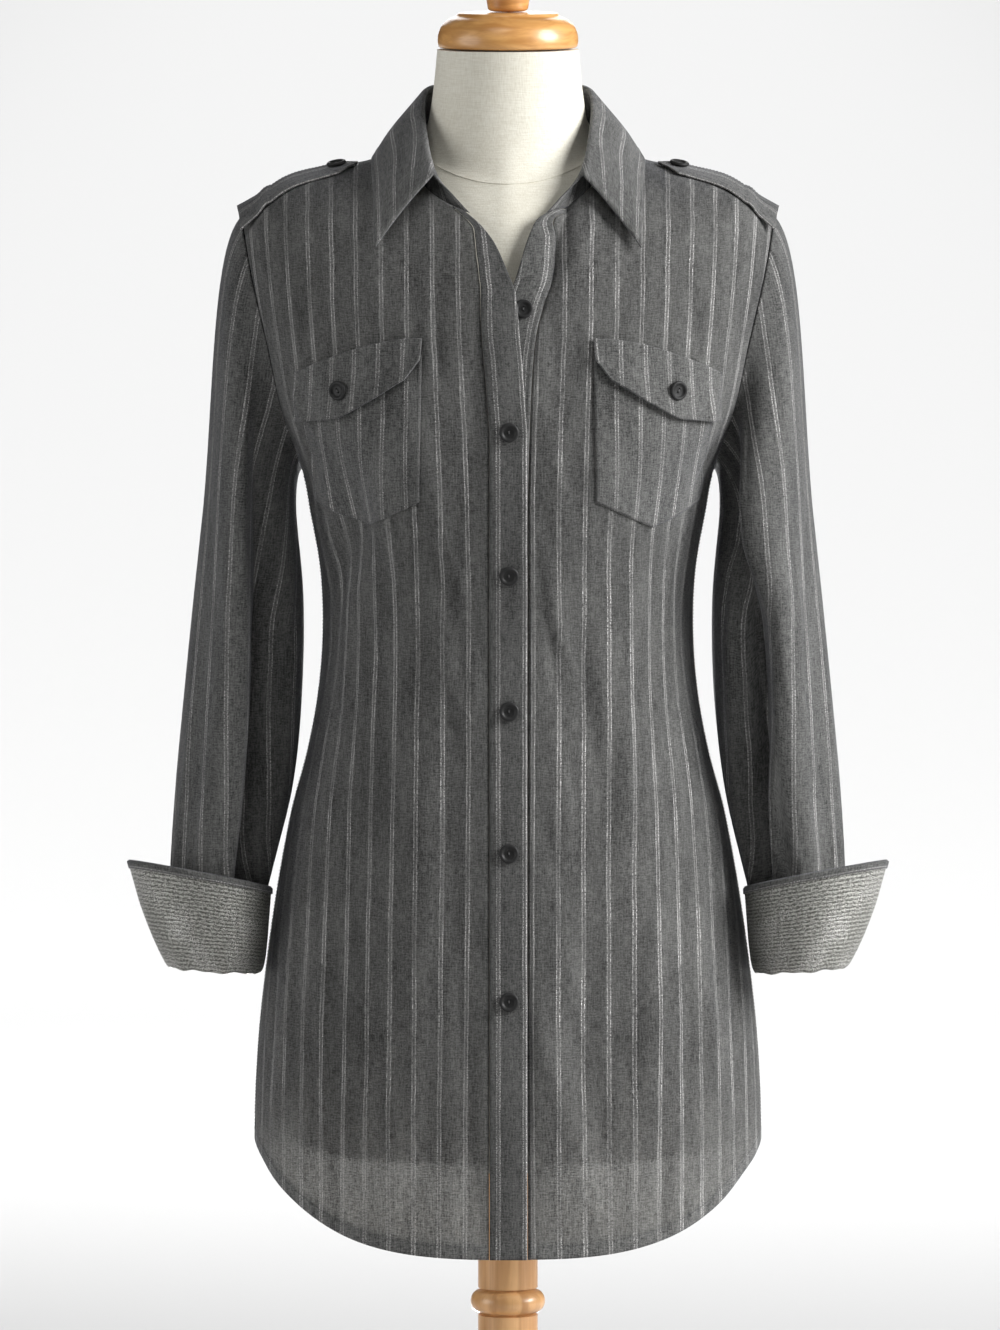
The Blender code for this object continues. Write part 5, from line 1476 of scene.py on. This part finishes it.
# %% Patch tables
# from the inner side to the outer: x and height of the top, then of the bottom
POCKET = [
    (0.0640, 1.0640, 0.0645, 0.9550), (0.0770, 1.0630, 0.0752, 0.9495), (0.0900, 1.0610, 0.0860, 0.9440),
    (0.1030, 1.0580, 0.0960, 0.9388), (0.1150, 1.0550, 0.1060, 0.9335), (0.1270, 1.0515, 0.1165, 0.9372),
    (0.1380, 1.0480, 0.1260, 0.9410), (0.1480, 1.0445, 0.1350, 0.9455), (0.1560, 1.0410, 0.1430, 0.9500),
]  # fmt: skip
FLAP = [
    (0.0635, 1.0760, 0.0645, 1.0600), (0.0750, 1.0755, 0.0752, 1.0455), (0.0880, 1.0740, 0.0880, 1.0378),
    (0.1000, 1.0715, 0.1000, 1.0300), (0.1120, 1.0680, 0.1115, 1.0232), (0.1235, 1.0640, 0.1225, 1.0170),
    (0.1350, 1.0595, 0.1340, 1.0155), (0.1460, 1.0545, 0.1450, 1.0140), (0.1575, 1.0490, 0.1555, 1.0130),
]  # fmt: skip


def patch_grid(side, table, columns, rows, lift_of):
    """Points, angles and heights of a patch laid on a front."""
    at = np.linspace(0, len(table) - 1, columns)
    sides = (np.interp(at, range(len(table)), [row[k] for row in table])[:, None] for k in range(4))
    x_top, top, x_foot, foot = sides
    t = np.linspace(0.0, 1.0, rows)[None, :]
    heights = mix(top, foot, t)
    angle = side * angle_at(mix(x_top, x_foot, t), heights)
    lift = front_lift(angle, heights) + CLOTH + lift_of(t + heights * 0)
    return off_torso(angle, heights, lift), angle, heights


def patch_cut(points, shift):
    return flat_place(lengths_along(points[:, :1], 0) + PATCH_START - shift, points[..., 2])


# %% Pockets and flaps
POCKET_LIFT, FLAP_LIFT, FLAP_FLARE = 0.0003, 0.0014, 0.0030
PATCH_START = 0.064  # length from the middle of the front to a patch
PATCH_STRIPE = {-1: 0.0362, 1: 0.0225}  # and to the first stripe of the front under it, right and left


def sew_patch(points, normals, thickness, row, column, top_too):
    """Stitches round a patch, this many rows and columns in, and along its top where asked."""
    face = points + normals * thickness
    foot = slice(column, -column)
    sew(face[foot, -1 - row], normals[foot, -1 - row])
    for edge in (column, -1 - column):
        sew(face[edge, : -1 - row], normals[edge, : -1 - row])
    if top_too:
        sew(face[foot, row], normals[foot, row])


def make_patches(side, name):
    shift = PATCH_STRIPE[side]
    points, angle, heights = patch_grid(side, POCKET, 61, 73, lambda t: POCKET_LIFT + t * 0)
    cut = patch_cut(points, shift)
    pocket = cloth(f"pocket_{name}", points, cut, CLOTH, DOUBLE_CLOTH, ply=1.0)
    declare(pocket, cut, "laid", ["front_" + name], "shirting", f"pocket_{name}")
    sew_patch(points, outward(angle, heights), CLOTH, 1, 1, False)

    def flap_lift(t):
        return FLAP_LIFT + FLAP_FLARE * t**2

    points, angle, heights = patch_grid(side, FLAP, 65, 33, flap_lift)
    cut = patch_cut(points, shift + 0.003)
    flap = cloth(f"pocket_flap_{name}", points, cut, DOUBLE, DOUBLE_CLOTH, ply=1.0)
    declare(flap, cut, "laid", ["pocket_" + name], "shirting", f"pocket_flap_{name}")
    sew_patch(points, outward(angle, heights), DOUBLE, 4, 3, True)
    stitch_mesh(f"pocket_stitches_{name}")


for side, name in SIDES:
    make_patches(side, name)

# %% Shoulder straps
STRAP_Y, STRAP_HALF_WIDTH = -0.0070, 0.0190
STRAP_TIP_X, STRAP_END_X, STRAP_STIFF_X, STRAP_POINT, STRAP_SLANT = 0.1135, 0.2020, 0.178, 0.014, 0.08
STRAP_STRIPE = 0.0075


def upwards(at):
    return np.array([0.0, 0.0, 1.0])


def make_strap(side, name):
    straight = np.linspace(STRAP_POINT, STRAP_END_X - STRAP_TIP_X, 44)
    along = np.concatenate([np.linspace(0.0, STRAP_POINT, 12), straight[1:]])
    half_width = STRAP_HALF_WIDTH * np.minimum(0.12 + 0.88 * along / STRAP_POINT, 1.0)
    x = STRAP_TIP_X + along
    past = np.maximum(x - STRAP_STIFF_X, 0.0)
    across = np.linspace(-1.0, 1.0, 33)
    y = STRAP_Y + half_width[:, None] * across[None, :]
    wave = 0.0004 * np.sin(along * 150)[:, None] + 0.0003 * np.sin(across * 5)[None, :]
    points, normal = over_shoulder((x - past)[:, None], y, CLOTH + 0.0012 + wave)
    drop = past[:, None] * (0.76 - 0.10 * across[None, :]) * ease(0.0, 0.010, past)[:, None]
    forward = np.broadcast_to(past[:, None] * (1.0 + STRAP_SLANT * across[None, :]), y.shape)
    points = points + np.stack([forward, np.zeros_like(drop), -drop], axis=-1)
    points, normal = points * (side, 1.0, 1.0), normal * (side, 1.0, 1.0)
    cut = flat_place(y + STRAP_STRIPE, lengths_along(points[:, 16], 0)[:, None])
    strap = cloth(f"shoulder_strap_{name}", points, cut, DOUBLE, DOUBLE_CLOTH, upwards, ply=1.0)
    declare(strap, cut, "laid", ["front_" + name, "back"], "shirting", f"shoulder_strap_{name}")
    face = points + normal * DOUBLE
    for column in (4, -5):
        sew(face[11:, column], normal[11:, column])
    for half in (slice(4, 17), slice(16, 29)):
        sew(face[3, half], normal[3, half])
    stitch_mesh(f"strap_stitches_{name}")


for side, name in SIDES:
    make_strap(side, name)

# %% [markdown]
# ## Buttons
# The buttons are dark resin: a raised rim, a sunken middle and two holes, with the sewing thread across
# them. One profile is turned into a disc, the holes are cut once, and every button shares that mesh.

# %% Button finish
def resin():
    made, tree, shader = new_material("dark_resin")
    cloud = solid_noise(tree, (1, 1, 1), scale=260.0, detail=4.0)
    tree.links.new(blend_colours(tree, cloud, grey(0.008), grey(0.032)), shader.inputs["Base Color"])
    tree.links.new(spread(tree, cloud, 0.3, 0.7, 0.40, 0.55), shader.inputs["Roughness"])
    settings(shader, {"Specular IOR Level": 0.22})
    return made


DARK_RESIN = resin()
print(DARK_RESIN.name, len(DARK_RESIN.node_tree.nodes), "nodes")

# %% Button mesh
BUTTON_RADIUS, BUTTON_THICKNESS, HOLE_RADIUS, HOLE_SPREAD = 0.0074, 0.0030, 0.00085, 0.0013
BUTTON_PROFILE = [
    (0.0, 0.50), (0.45, 0.50), (0.56, 0.54), (0.63, 0.72), (0.70, 0.93), (0.80, 1.0), (0.90, 0.96),
    (0.97, 0.80), (1.0, 0.60), (0.98, 0.36), (0.90, 0.10), (0.80, 0.0), (0.0, 0.0),
]  # fmt: skip


def turned(name, profile, steps, finish):
    """A turned piece from its outline of radius and height, top to bottom."""
    mesh = bpy.data.meshes.new(name)
    mesh.from_pydata([(r, 0.0, h) for r, h in profile], [(i, i + 1) for i in range(len(profile) - 1)], [])
    made = add_object(name, mesh)
    screw = made.modifiers.new("turn", "SCREW")
    screw.steps = screw.render_steps = steps
    screw.use_merge_vertices = True
    screw.merge_threshold = 0.00002
    screw.use_smooth_shade = True
    whole = bpy.data.meshes.new_from_object(made.evaluated_get(bpy.context.evaluated_depsgraph_get()))
    bpy.data.objects.remove(made)
    whole.name = name
    whole.materials.clear()
    whole.materials.append(finish)
    return whole


# %% Holes in the button
def button_mesh():
    """The turned disc with two holes through it."""
    outline = [(r * BUTTON_RADIUS, h * BUTTON_THICKNESS) for r, h in BUTTON_PROFILE]
    disc = add_object("disc", turned("button", outline, 48, DARK_RESIN))
    drills = []
    for way in (-1, 1):
        bar = [(0.0, 0.004), (HOLE_RADIUS, 0.004), (HOLE_RADIUS, -0.001), (0.0, -0.001)]
        drill = add_object("drill", turned("drill", bar, 16, DARK_RESIN))
        drill.location = (0.0, way * HOLE_SPREAD, 0.0)
        cut = disc.modifiers.new("hole", "BOOLEAN")
        cut.object = drill
        drills.append(drill)
    bpy.context.view_layer.update()
    mesh = bpy.data.meshes.new_from_object(disc.evaluated_get(bpy.context.evaluated_depsgraph_get()))
    for used in drills + [disc]:
        bpy.data.objects.remove(used)
    mesh.name = "button"
    mesh.shade_smooth()
    mesh.set_sharp_from_angle(angle=math.radians(40))
    return mesh


BUTTON = button_mesh()
print("button", len(BUTTON.polygons), "faces")

# %% Button thread
THREAD_LOOPS, LOOP_STEPS = 4, 12
LOOP_SPACING, LOOP_RADIUS, LOOP_SINK, LOOP_RISE = 0.00028, 0.00016, 0.0006, 0.0011


def thread_mesh():
    """Loops of thread from hole to hole, in the button's own frame."""
    points, faces = [], []
    floor = BUTTON_THICKNESS * 0.5 - LOOP_SINK
    for loop in range(THREAD_LOOPS):
        x = (loop - (THREAD_LOOPS - 1) / 2) * LOOP_SPACING
        first = len(points)
        for t in np.linspace(0, math.pi, LOOP_STEPS + 1):
            y, z = HOLE_SPREAD * math.cos(t), floor + LOOP_RISE * math.sin(t)
            for a in np.radians(range(0, 360, 60)):
                points.append((x + math.cos(a) * LOOP_RADIUS, y, z + math.sin(a) * LOOP_RADIUS))
        for step in range(LOOP_STEPS):
            for k in range(6):
                a, b = first + 6 * step + k, first + 6 * step + (k + 1) % 6
                faces.append((a, b, b + 6, a + 6))
        last = first + 6 * LOOP_STEPS
        faces += [tuple(first + k for k in range(6))[::-1], tuple(last + k for k in range(6))]
    mesh = bpy.data.meshes.new("button_thread")
    mesh.from_pydata(points, [], faces)
    mesh.materials.append(SEWING_THREAD)
    mesh.shade_smooth()
    return mesh


BUTTON_THREAD = thread_mesh()
print("thread", len(BUTTON_THREAD.polygons), "faces")

# %% Sewing the buttons on
BUTTON_X, BUTTON_HEIGHTS = 0.0008, (1.0072, 0.8995, 0.7958, 0.6892, 0.5783)
OPEN_BUTTON, FLAP_BUTTON, STRAP_BUTTON_X = (0.0114, 1.0980), (0.1235, 1.0370), 0.1290
SEATED = 0.0004  # a button stands this far off its cloth


def put_button(node, places, axes):
    """A button and its thread at a place, facing along an axis."""
    turn = Vector((0, 0, 1)).rotation_difference(Vector(axes[0]))
    button, thread = add_object(node + "_piece", BUTTON), add_object(node + "_thread", BUTTON_THREAD)
    for piece in (button, thread):
        piece.rotation_mode = "QUATERNION"
        piece.rotation_quaternion = turn
        piece.location = Vector(places[0])
        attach(piece, "root")
    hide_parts(node)


def one(value):
    return np.array([float(value)])


def put_on_front(node, x, height, lift):
    """A button at this place of a front, this far off where the front's shell starts."""
    angle, height = angle_at(one(x), one(height)), one(height)
    put_button(node, off_torso(angle, height, front_lift(angle, height) + lift), outward(angle, height))


put_on_front("button_1", *OPEN_BUTTON, CLOTH + SEATED)
for number, height in enumerate(BUTTON_HEIGHTS, 2):
    put_on_front(f"button_{number}", BUTTON_X, height, float(open_lift(height)) + DOUBLE + SEATED)
for side, name in SIDES:
    flap = CLOTH + FLAP_LIFT + FLAP_FLARE * 0.4 + DOUBLE
    put_on_front(f"pocket_button_{name}", side * FLAP_BUTTON[0], FLAP_BUTTON[1], flap)
    place, normal = over_shoulder(one(STRAP_BUTTON_X), one(STRAP_Y), one(CLOTH + 0.0014 + DOUBLE))
    put_button(f"strap_button_{name}", place * (side, 1.0, 1.0), normal * (side, 1.0, 1.0))

# %% [markdown]
# ## The dress form
# The form is a smooth shell under cream linen, with a neck that rises out of the shoulders. It is only seen
# at the neck and under the hem, but it is whole. Its linen has a seam round the neck.

# %% Form sizes
NECK = [(1.2380, 0.0593, 0.0600, 0.0610), (1.2564, 0.0566, 0.0570, 0.0585), (1.2877, 0.0535, 0.0540, 0.0550)]
FORM_BOTTOM, NECK_JOIN_X = 0.445, 0.070
NECK_JOIN_HEIGHTS = (1.190, 1.2105)
NECK_SEAM_HEIGHT = 0.0007  # the neck's cover is sewn over the shoulders' and stands a little proud of them
print("form from", FORM_BOTTOM, "to", NECK[-1][0], "m")

# %% Linen
def linen():
    made, tree, shader = new_material("cream_linen")
    stretches = ((1100, 1100, 90), (110, 110, 1300), (14, 14, 14))
    upright, level, cloud = (solid_noise(tree, stretch, detail=3.0) for stretch in stretches)
    weave = calc(tree, "ADD", upright, level)
    share = spread(tree, calc(tree, "ADD", weave, calc(tree, "MULTIPLY", cloud, 0.6)), 0.8, 1.8)
    colour = blend_colours(tree, share, (0.62, 0.585, 0.485, 1.0), (0.78, 0.76, 0.67, 1.0))
    tree.links.new(colour, shader.inputs["Base Color"])
    settings(shader, {"Roughness": 0.9, "Sheen Weight": 0.1})
    tree.links.new(bump(tree, weave, 0.0003, 0.5), shader.inputs["Normal"])
    return made


CREAM_LINEN = linen()
print(CREAM_LINEN.name, len(CREAM_LINEN.node_tree.nodes), "nodes")

# %% Form sections
def form_ridge_drop(x):
    return 0.0010 + 0.0045 * hump((np.abs(x) - NECK_JOIN_X) / 0.034)


def form_point(angle, height):
    x = surface(angle, height, FORM)[..., 0]
    return surface(angle, height, FORM, form_ridge_drop(x))


def make_form():
    side_top = ridge_height(NECK_JOIN_X) - form_ridge_drop(NECK_JOIN_X)
    share = NECK_JOIN_X / float(along_table(FORM, one(side_top), 1)[0])
    neck_angle = math.degrees(math.asin(share ** (float(along_table(FORM, one(side_top), 4)[0]) / 2)))
    quarter = np.concatenate([np.linspace(0, neck_angle, 13), np.linspace(neck_angle, 90, 28)[1:]])
    half = np.concatenate([quarter, (180 - quarter)[::-1][1:]])
    angles = np.concatenate([half, -half[::-1][1:-1]])
    in_front = np.abs(angles) <= 90
    away = np.where(in_front, np.abs(angles), 180 - np.abs(angles))
    low, high = (np.full(angles.shape, height) for height in TOP_SEARCH)

    def below_ridge(h):
        x = surface(angles, h, FORM)[..., 0]
        return h < ridge_height(x) - form_ridge_drop(x)

    top = solve(low, high, below_ridge)
    turn = math.pi / 2 * np.minimum(away / neck_angle, 1.0)
    on_neck = away <= neck_angle + 1e-6
    join = mix(side_top, np.where(in_front, *NECK_JOIN_HEIGHTS), np.cos(turn))
    top = np.where(on_neck, join, top)
    rows = np.linspace(FORM_BOTTOM, ARMPIT_HEIGHT, 40)[:-1]
    lower = np.broadcast_to(rows[None, :], (len(angles), len(rows)))
    upper = mix(ARMPIT_HEIGHT, top[:, None], (1 - circle(np.linspace(0, 180, 41))[0])[None, :] / 2)
    heights = np.concatenate([lower, upper], axis=1)
    points = form_point(angles[:, None], heights)
    return angles, points, on_neck, turn, in_front


# %% Form mesh
def form_mesh():
    """The form as one closed mesh: its columns, its neck above the join, and its two ends."""
    angles, points, on_neck, turn, in_front = make_form()
    shape = bmesh.new()
    neck_heights = np.linspace(NECK[0][0], NECK[-1][0], 12)
    columns = []
    for k in range(len(angles)):
        line = [shape.verts.new(p) for p in points[k]]
        if on_neck[k]:
            line[-1].co += Vector(unit(from_body(points[k][-1])) * NECK_SEAM_HEIGHT)
            ahead = math.cos(turn[k])
            join = points[k][-1]
            depth = along_table(NECK, neck_heights, 2 if in_front[k] else 3)
            x = np.sign(angles[k]) * along_table(NECK, neck_heights, 1) * math.sin(turn[k])
            y = (-depth if in_front[k] else depth) * ahead
            base = np.array([x[0], y[0], neck_heights[0]])
            up = np.array([x[1], y[1], neck_heights[1]]) - base
            away = unit(join - points[k][-3])
            for t in np.linspace(0.0, 1.0, 12)[1:-1]:
                span = np.linalg.norm(base - join)
                a, b = join + away * span * 0.35, base - unit(up) * span * 0.45
                p = join * (1 - t) ** 3 + 3 * a * t * (1 - t) ** 2 + 3 * b * t**2 * (1 - t) + base * t**3
                line.append(shape.verts.new(p))
            line += [shape.verts.new((x[i], y[i], neck_heights[i])) for i in range(len(x))]
        columns.append(line)
    for a, b in zip(columns, columns[1:] + columns[:1]):
        for j in range(min(len(a), len(b)) - 1):
            shape.faces.new((a[j], b[j], b[j + 1], a[j + 1]))
    bmesh.ops.remove_doubles(shape, verts=shape.verts, dist=0.0001)
    bmesh.ops.holes_fill(shape, edges=[edge for edge in shape.edges if edge.is_boundary])
    bmesh.ops.recalc_face_normals(shape, faces=shape.faces)
    mesh = bpy.data.meshes.new("form_cover")
    shape.to_mesh(mesh)
    shape.free()
    mesh.materials.append(CREAM_LINEN)
    mesh.shade_smooth()
    mesh.set_sharp_from_angle(angle=math.radians(55))
    return mesh


form_cover = add_object("form_cover", form_mesh())
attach(form_cover, "root")
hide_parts("form_body")
print("form", len(form_cover.data.polygons), "faces")

# %% [markdown]
# ## The turned wood
# Cap, knob, pole and foot are turned from a pale hardwood under honey varnish. A turned piece is its
# outline spun round, so the outline is drawn through its few real corners and rounded, and the grain is
# noise stretched along the axis, with darker rings where the tool cut across it.

# %% Wood finish
def wood(name, stretch, pale, dark):
    made, tree, shader = new_material(name)
    grain = solid_noise(tree, stretch, detail=6.0, distortion=0.6)
    pores = solid_noise(tree, stretch, scale=7.0, detail=3.0)
    share = spread(tree, grain, 0.30, 0.72)
    colour = blend_colours(tree, share, dark, pale)
    colour = blend_colours(tree, spread(tree, pores, 0.58, 0.75, 0.0, 0.35), colour, dark)
    tree.links.new(colour, shader.inputs["Base Color"])
    tree.links.new(spread(tree, share, 0.0, 1.0, 0.42, 0.32), shader.inputs["Roughness"])
    settings(shader, {"Coat Weight": 0.35, "Coat Roughness": 0.18})
    tree.links.new(bump(tree, pores, 0.0001, 0.3), shader.inputs["Normal"])
    return made


HONEY_CAP = wood("honey_wood_cap", (30, 30, 160), (0.74, 0.40, 0.14, 1.0), (0.48, 0.22, 0.06, 1.0))
HONEY_POLE = wood("honey_wood_pole", (70, 70, 5), (0.77, 0.455, 0.21, 1.0), (0.48, 0.24, 0.088, 1.0))
print(HONEY_CAP.name, "and", HONEY_POLE.name)

# %% Turned pieces
POLE_RADIUS, BEAD_RADIUS, BEAD_HEIGHT = 0.0228, 0.0284, 0.3332
BASE_RADIUS, BASE_THICKNESS = 0.165, 0.028
CAP_OUTLINE = [
    (0.0, 1.3160), (0.0375, 1.3160), (0.0390, 1.3130), (0.0450, 1.3108), (0.0505, 1.3060),
    (0.0531, 1.2985), (0.0533, 1.2930), (0.0520, 1.2882), (0.0, 1.2882),
]  # fmt: skip
KNOB_OUTLINE = [
    (0.0, 1.3600), (0.0095, 1.3588), (0.0160, 1.3535), (0.0190, 1.3450), (0.0184, 1.3350),
    (0.0160, 1.3240), (0.0150, 1.3164), (0.0, 1.3164),
]  # fmt: skip


def arc(radius, height, half_height, sink, start, end, steps):
    """Part of a bulge on a turned piece, along an ellipse, from the top down."""
    turns = np.radians(np.linspace(start, end, steps + 1))
    return [(radius - sink + sink * math.cos(t), height + half_height * math.sin(t)) for t in turns]


def rounded(outline, steps=6):
    """The outline with its inner corners rounded by a curve through their neighbours' middles."""
    points = [np.array(p) for p in outline]
    made = [points[0]]
    for a, b, c in zip(points, points[1:], points[2:]):
        start, end = mix(a, b, 0.62), mix(b, c, 0.38)
        made += [mix(mix(start, b, t), mix(b, end, t), t) for t in np.linspace(0.0, 1.0, steps)]
    return [tuple(p) for p in made + [points[-1]]]


# %% Cap, knob, pole and foot
GROOVE_RADIUS = 0.0205


def put_turned(node, outline, finish):
    piece = add_object(node + "_wood", turned(node + "_wood", outline, 96, finish))
    piece.data.set_sharp_from_angle(angle=math.radians(50))
    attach(piece, "root")
    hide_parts(node)
    print(piece.name, len(piece.data.polygons), "faces")


def pole_outline():
    top, foot = FORM_BOTTOM - 0.0004, BASE_THICKNESS + 0.0004
    bead = arc(BEAD_RADIUS, BEAD_HEIGHT, 0.0085, 0.0075, 85, -85, 18)
    collar = arc(BEAD_RADIUS + 0.004, foot + 0.010, 0.010, 0.009, 85, -90, 14)
    line = [(0.0, top), (POLE_RADIUS, top), (POLE_RADIUS, BEAD_HEIGHT + 0.0105)]
    line += [(GROOVE_RADIUS, BEAD_HEIGHT + 0.0100)] + bead + [(GROOVE_RADIUS, BEAD_HEIGHT - 0.0100)]
    line += [(POLE_RADIUS, BEAD_HEIGHT - 0.0105), (POLE_RADIUS, foot + 0.024)]
    return line + collar + [(0.0, foot)]


def base_outline():
    edge = arc(BASE_RADIUS, 0.018, 0.010, 0.012, 85, 0, 12)
    line = [(0.0, BASE_THICKNESS), (0.120, BASE_THICKNESS)] + edge
    return line + [(BASE_RADIUS, 0.003), (BASE_RADIUS - 0.003, 0.0), (0.0, 0.0)]


put_turned("neck_cap", rounded(CAP_OUTLINE), HONEY_CAP)
put_turned("neck_knob", rounded(KNOB_OUTLINE), HONEY_CAP)
put_turned("stand_pole", pole_outline(), HONEY_POLE)
put_turned("stand_base", base_outline(), HONEY_CAP)

# %% [markdown]
# ## Stage and light
# A wide pale floor reaches far behind the form, and a long softbox hangs over that part of it, so the floor
# itself is the pale background. The key light stands to the viewer's right and above, large and soft, and a
# weak fill stands on the left. A lamp behind lights the back, and a low one shines through the skirt below
# the form.

# %% Stage
FLOOR_HALF_WIDTH, FLOOR_FRONT, FLOOR_BEHIND = 24.0, -24.0, 50.0


def make_stage():
    points = [(x, y, 0.0) for y in (FLOOR_FRONT, FLOOR_BEHIND) for x in (-FLOOR_HALF_WIDTH, FLOOR_HALF_WIDTH)]
    mesh = bpy.data.meshes.new("stage")
    mesh.from_pydata(points, [], [(0, 1, 3, 2)])
    made, tree, shader = new_material("pale_floor")
    settings(shader, {"Base Color": grey(0.58), "Roughness": 0.9})
    mesh.materials.append(made)
    add_object("stage", mesh)


make_stage()
print("floor", 2 * FLOOR_HALF_WIDTH, "x", FLOOR_BEHIND - FLOOR_FRONT, "m")

# %% Lamps
SOFTBOX_NEAR, SOFTBOX_FAR = 2.9, 42.5  # where the softbox begins and ends behind the form
SOFTBOX_Y = (SOFTBOX_NEAR + SOFTBOX_FAR) / 2


def area_light(name, place, size, watts, aim=(0.0, 0.0, 0.85)):
    lamp = bpy.data.lights.new(name, "AREA")
    lamp.shape = "DISK"
    lamp.size, lamp.energy = size, watts
    made = add_object(name, lamp)
    made.location = place
    made.rotation_euler = (Vector(aim) - Vector(place)).to_track_quat("-Z", "Y").to_euler()
    made.visible_camera = False
    return lamp


area_light("key", (3.85, -1.15, 2.6), 2.6, 362.0)
area_light("fill", (-3.6, -1.5, 1.5), 3.0, 66.0)
area_light("top", (-0.5, -1.7, 3.5), 1.6, 17.0)
area_light("behind", (0.0, 3.8, 2.4), 2.4, 44.0)
area_light("low_back", (-0.03, 1.1, 0.06), 0.22, 33.0, (0.0, -0.1, 0.44))
softbox = area_light("floor_softbox", (0.0, SOFTBOX_Y, 4.5), 7.0, 1392.0, (0.0, SOFTBOX_Y, 0.0))
softbox.shape = "RECTANGLE"
softbox.size_y = SOFTBOX_FAR - SOFTBOX_NEAR
softbox.spread = math.radians(70)
world = bpy.data.worlds.new("studio")
bpy.context.scene.world = world
world.use_nodes = True
settings(world.node_tree.nodes["Background"], {"Color": (1.0, 1.0, 1.0, 1.0), "Strength": 0.03})
bpy.context.scene.view_settings.view_transform = "Standard"
print(len(bpy.data.lights), "lamps")
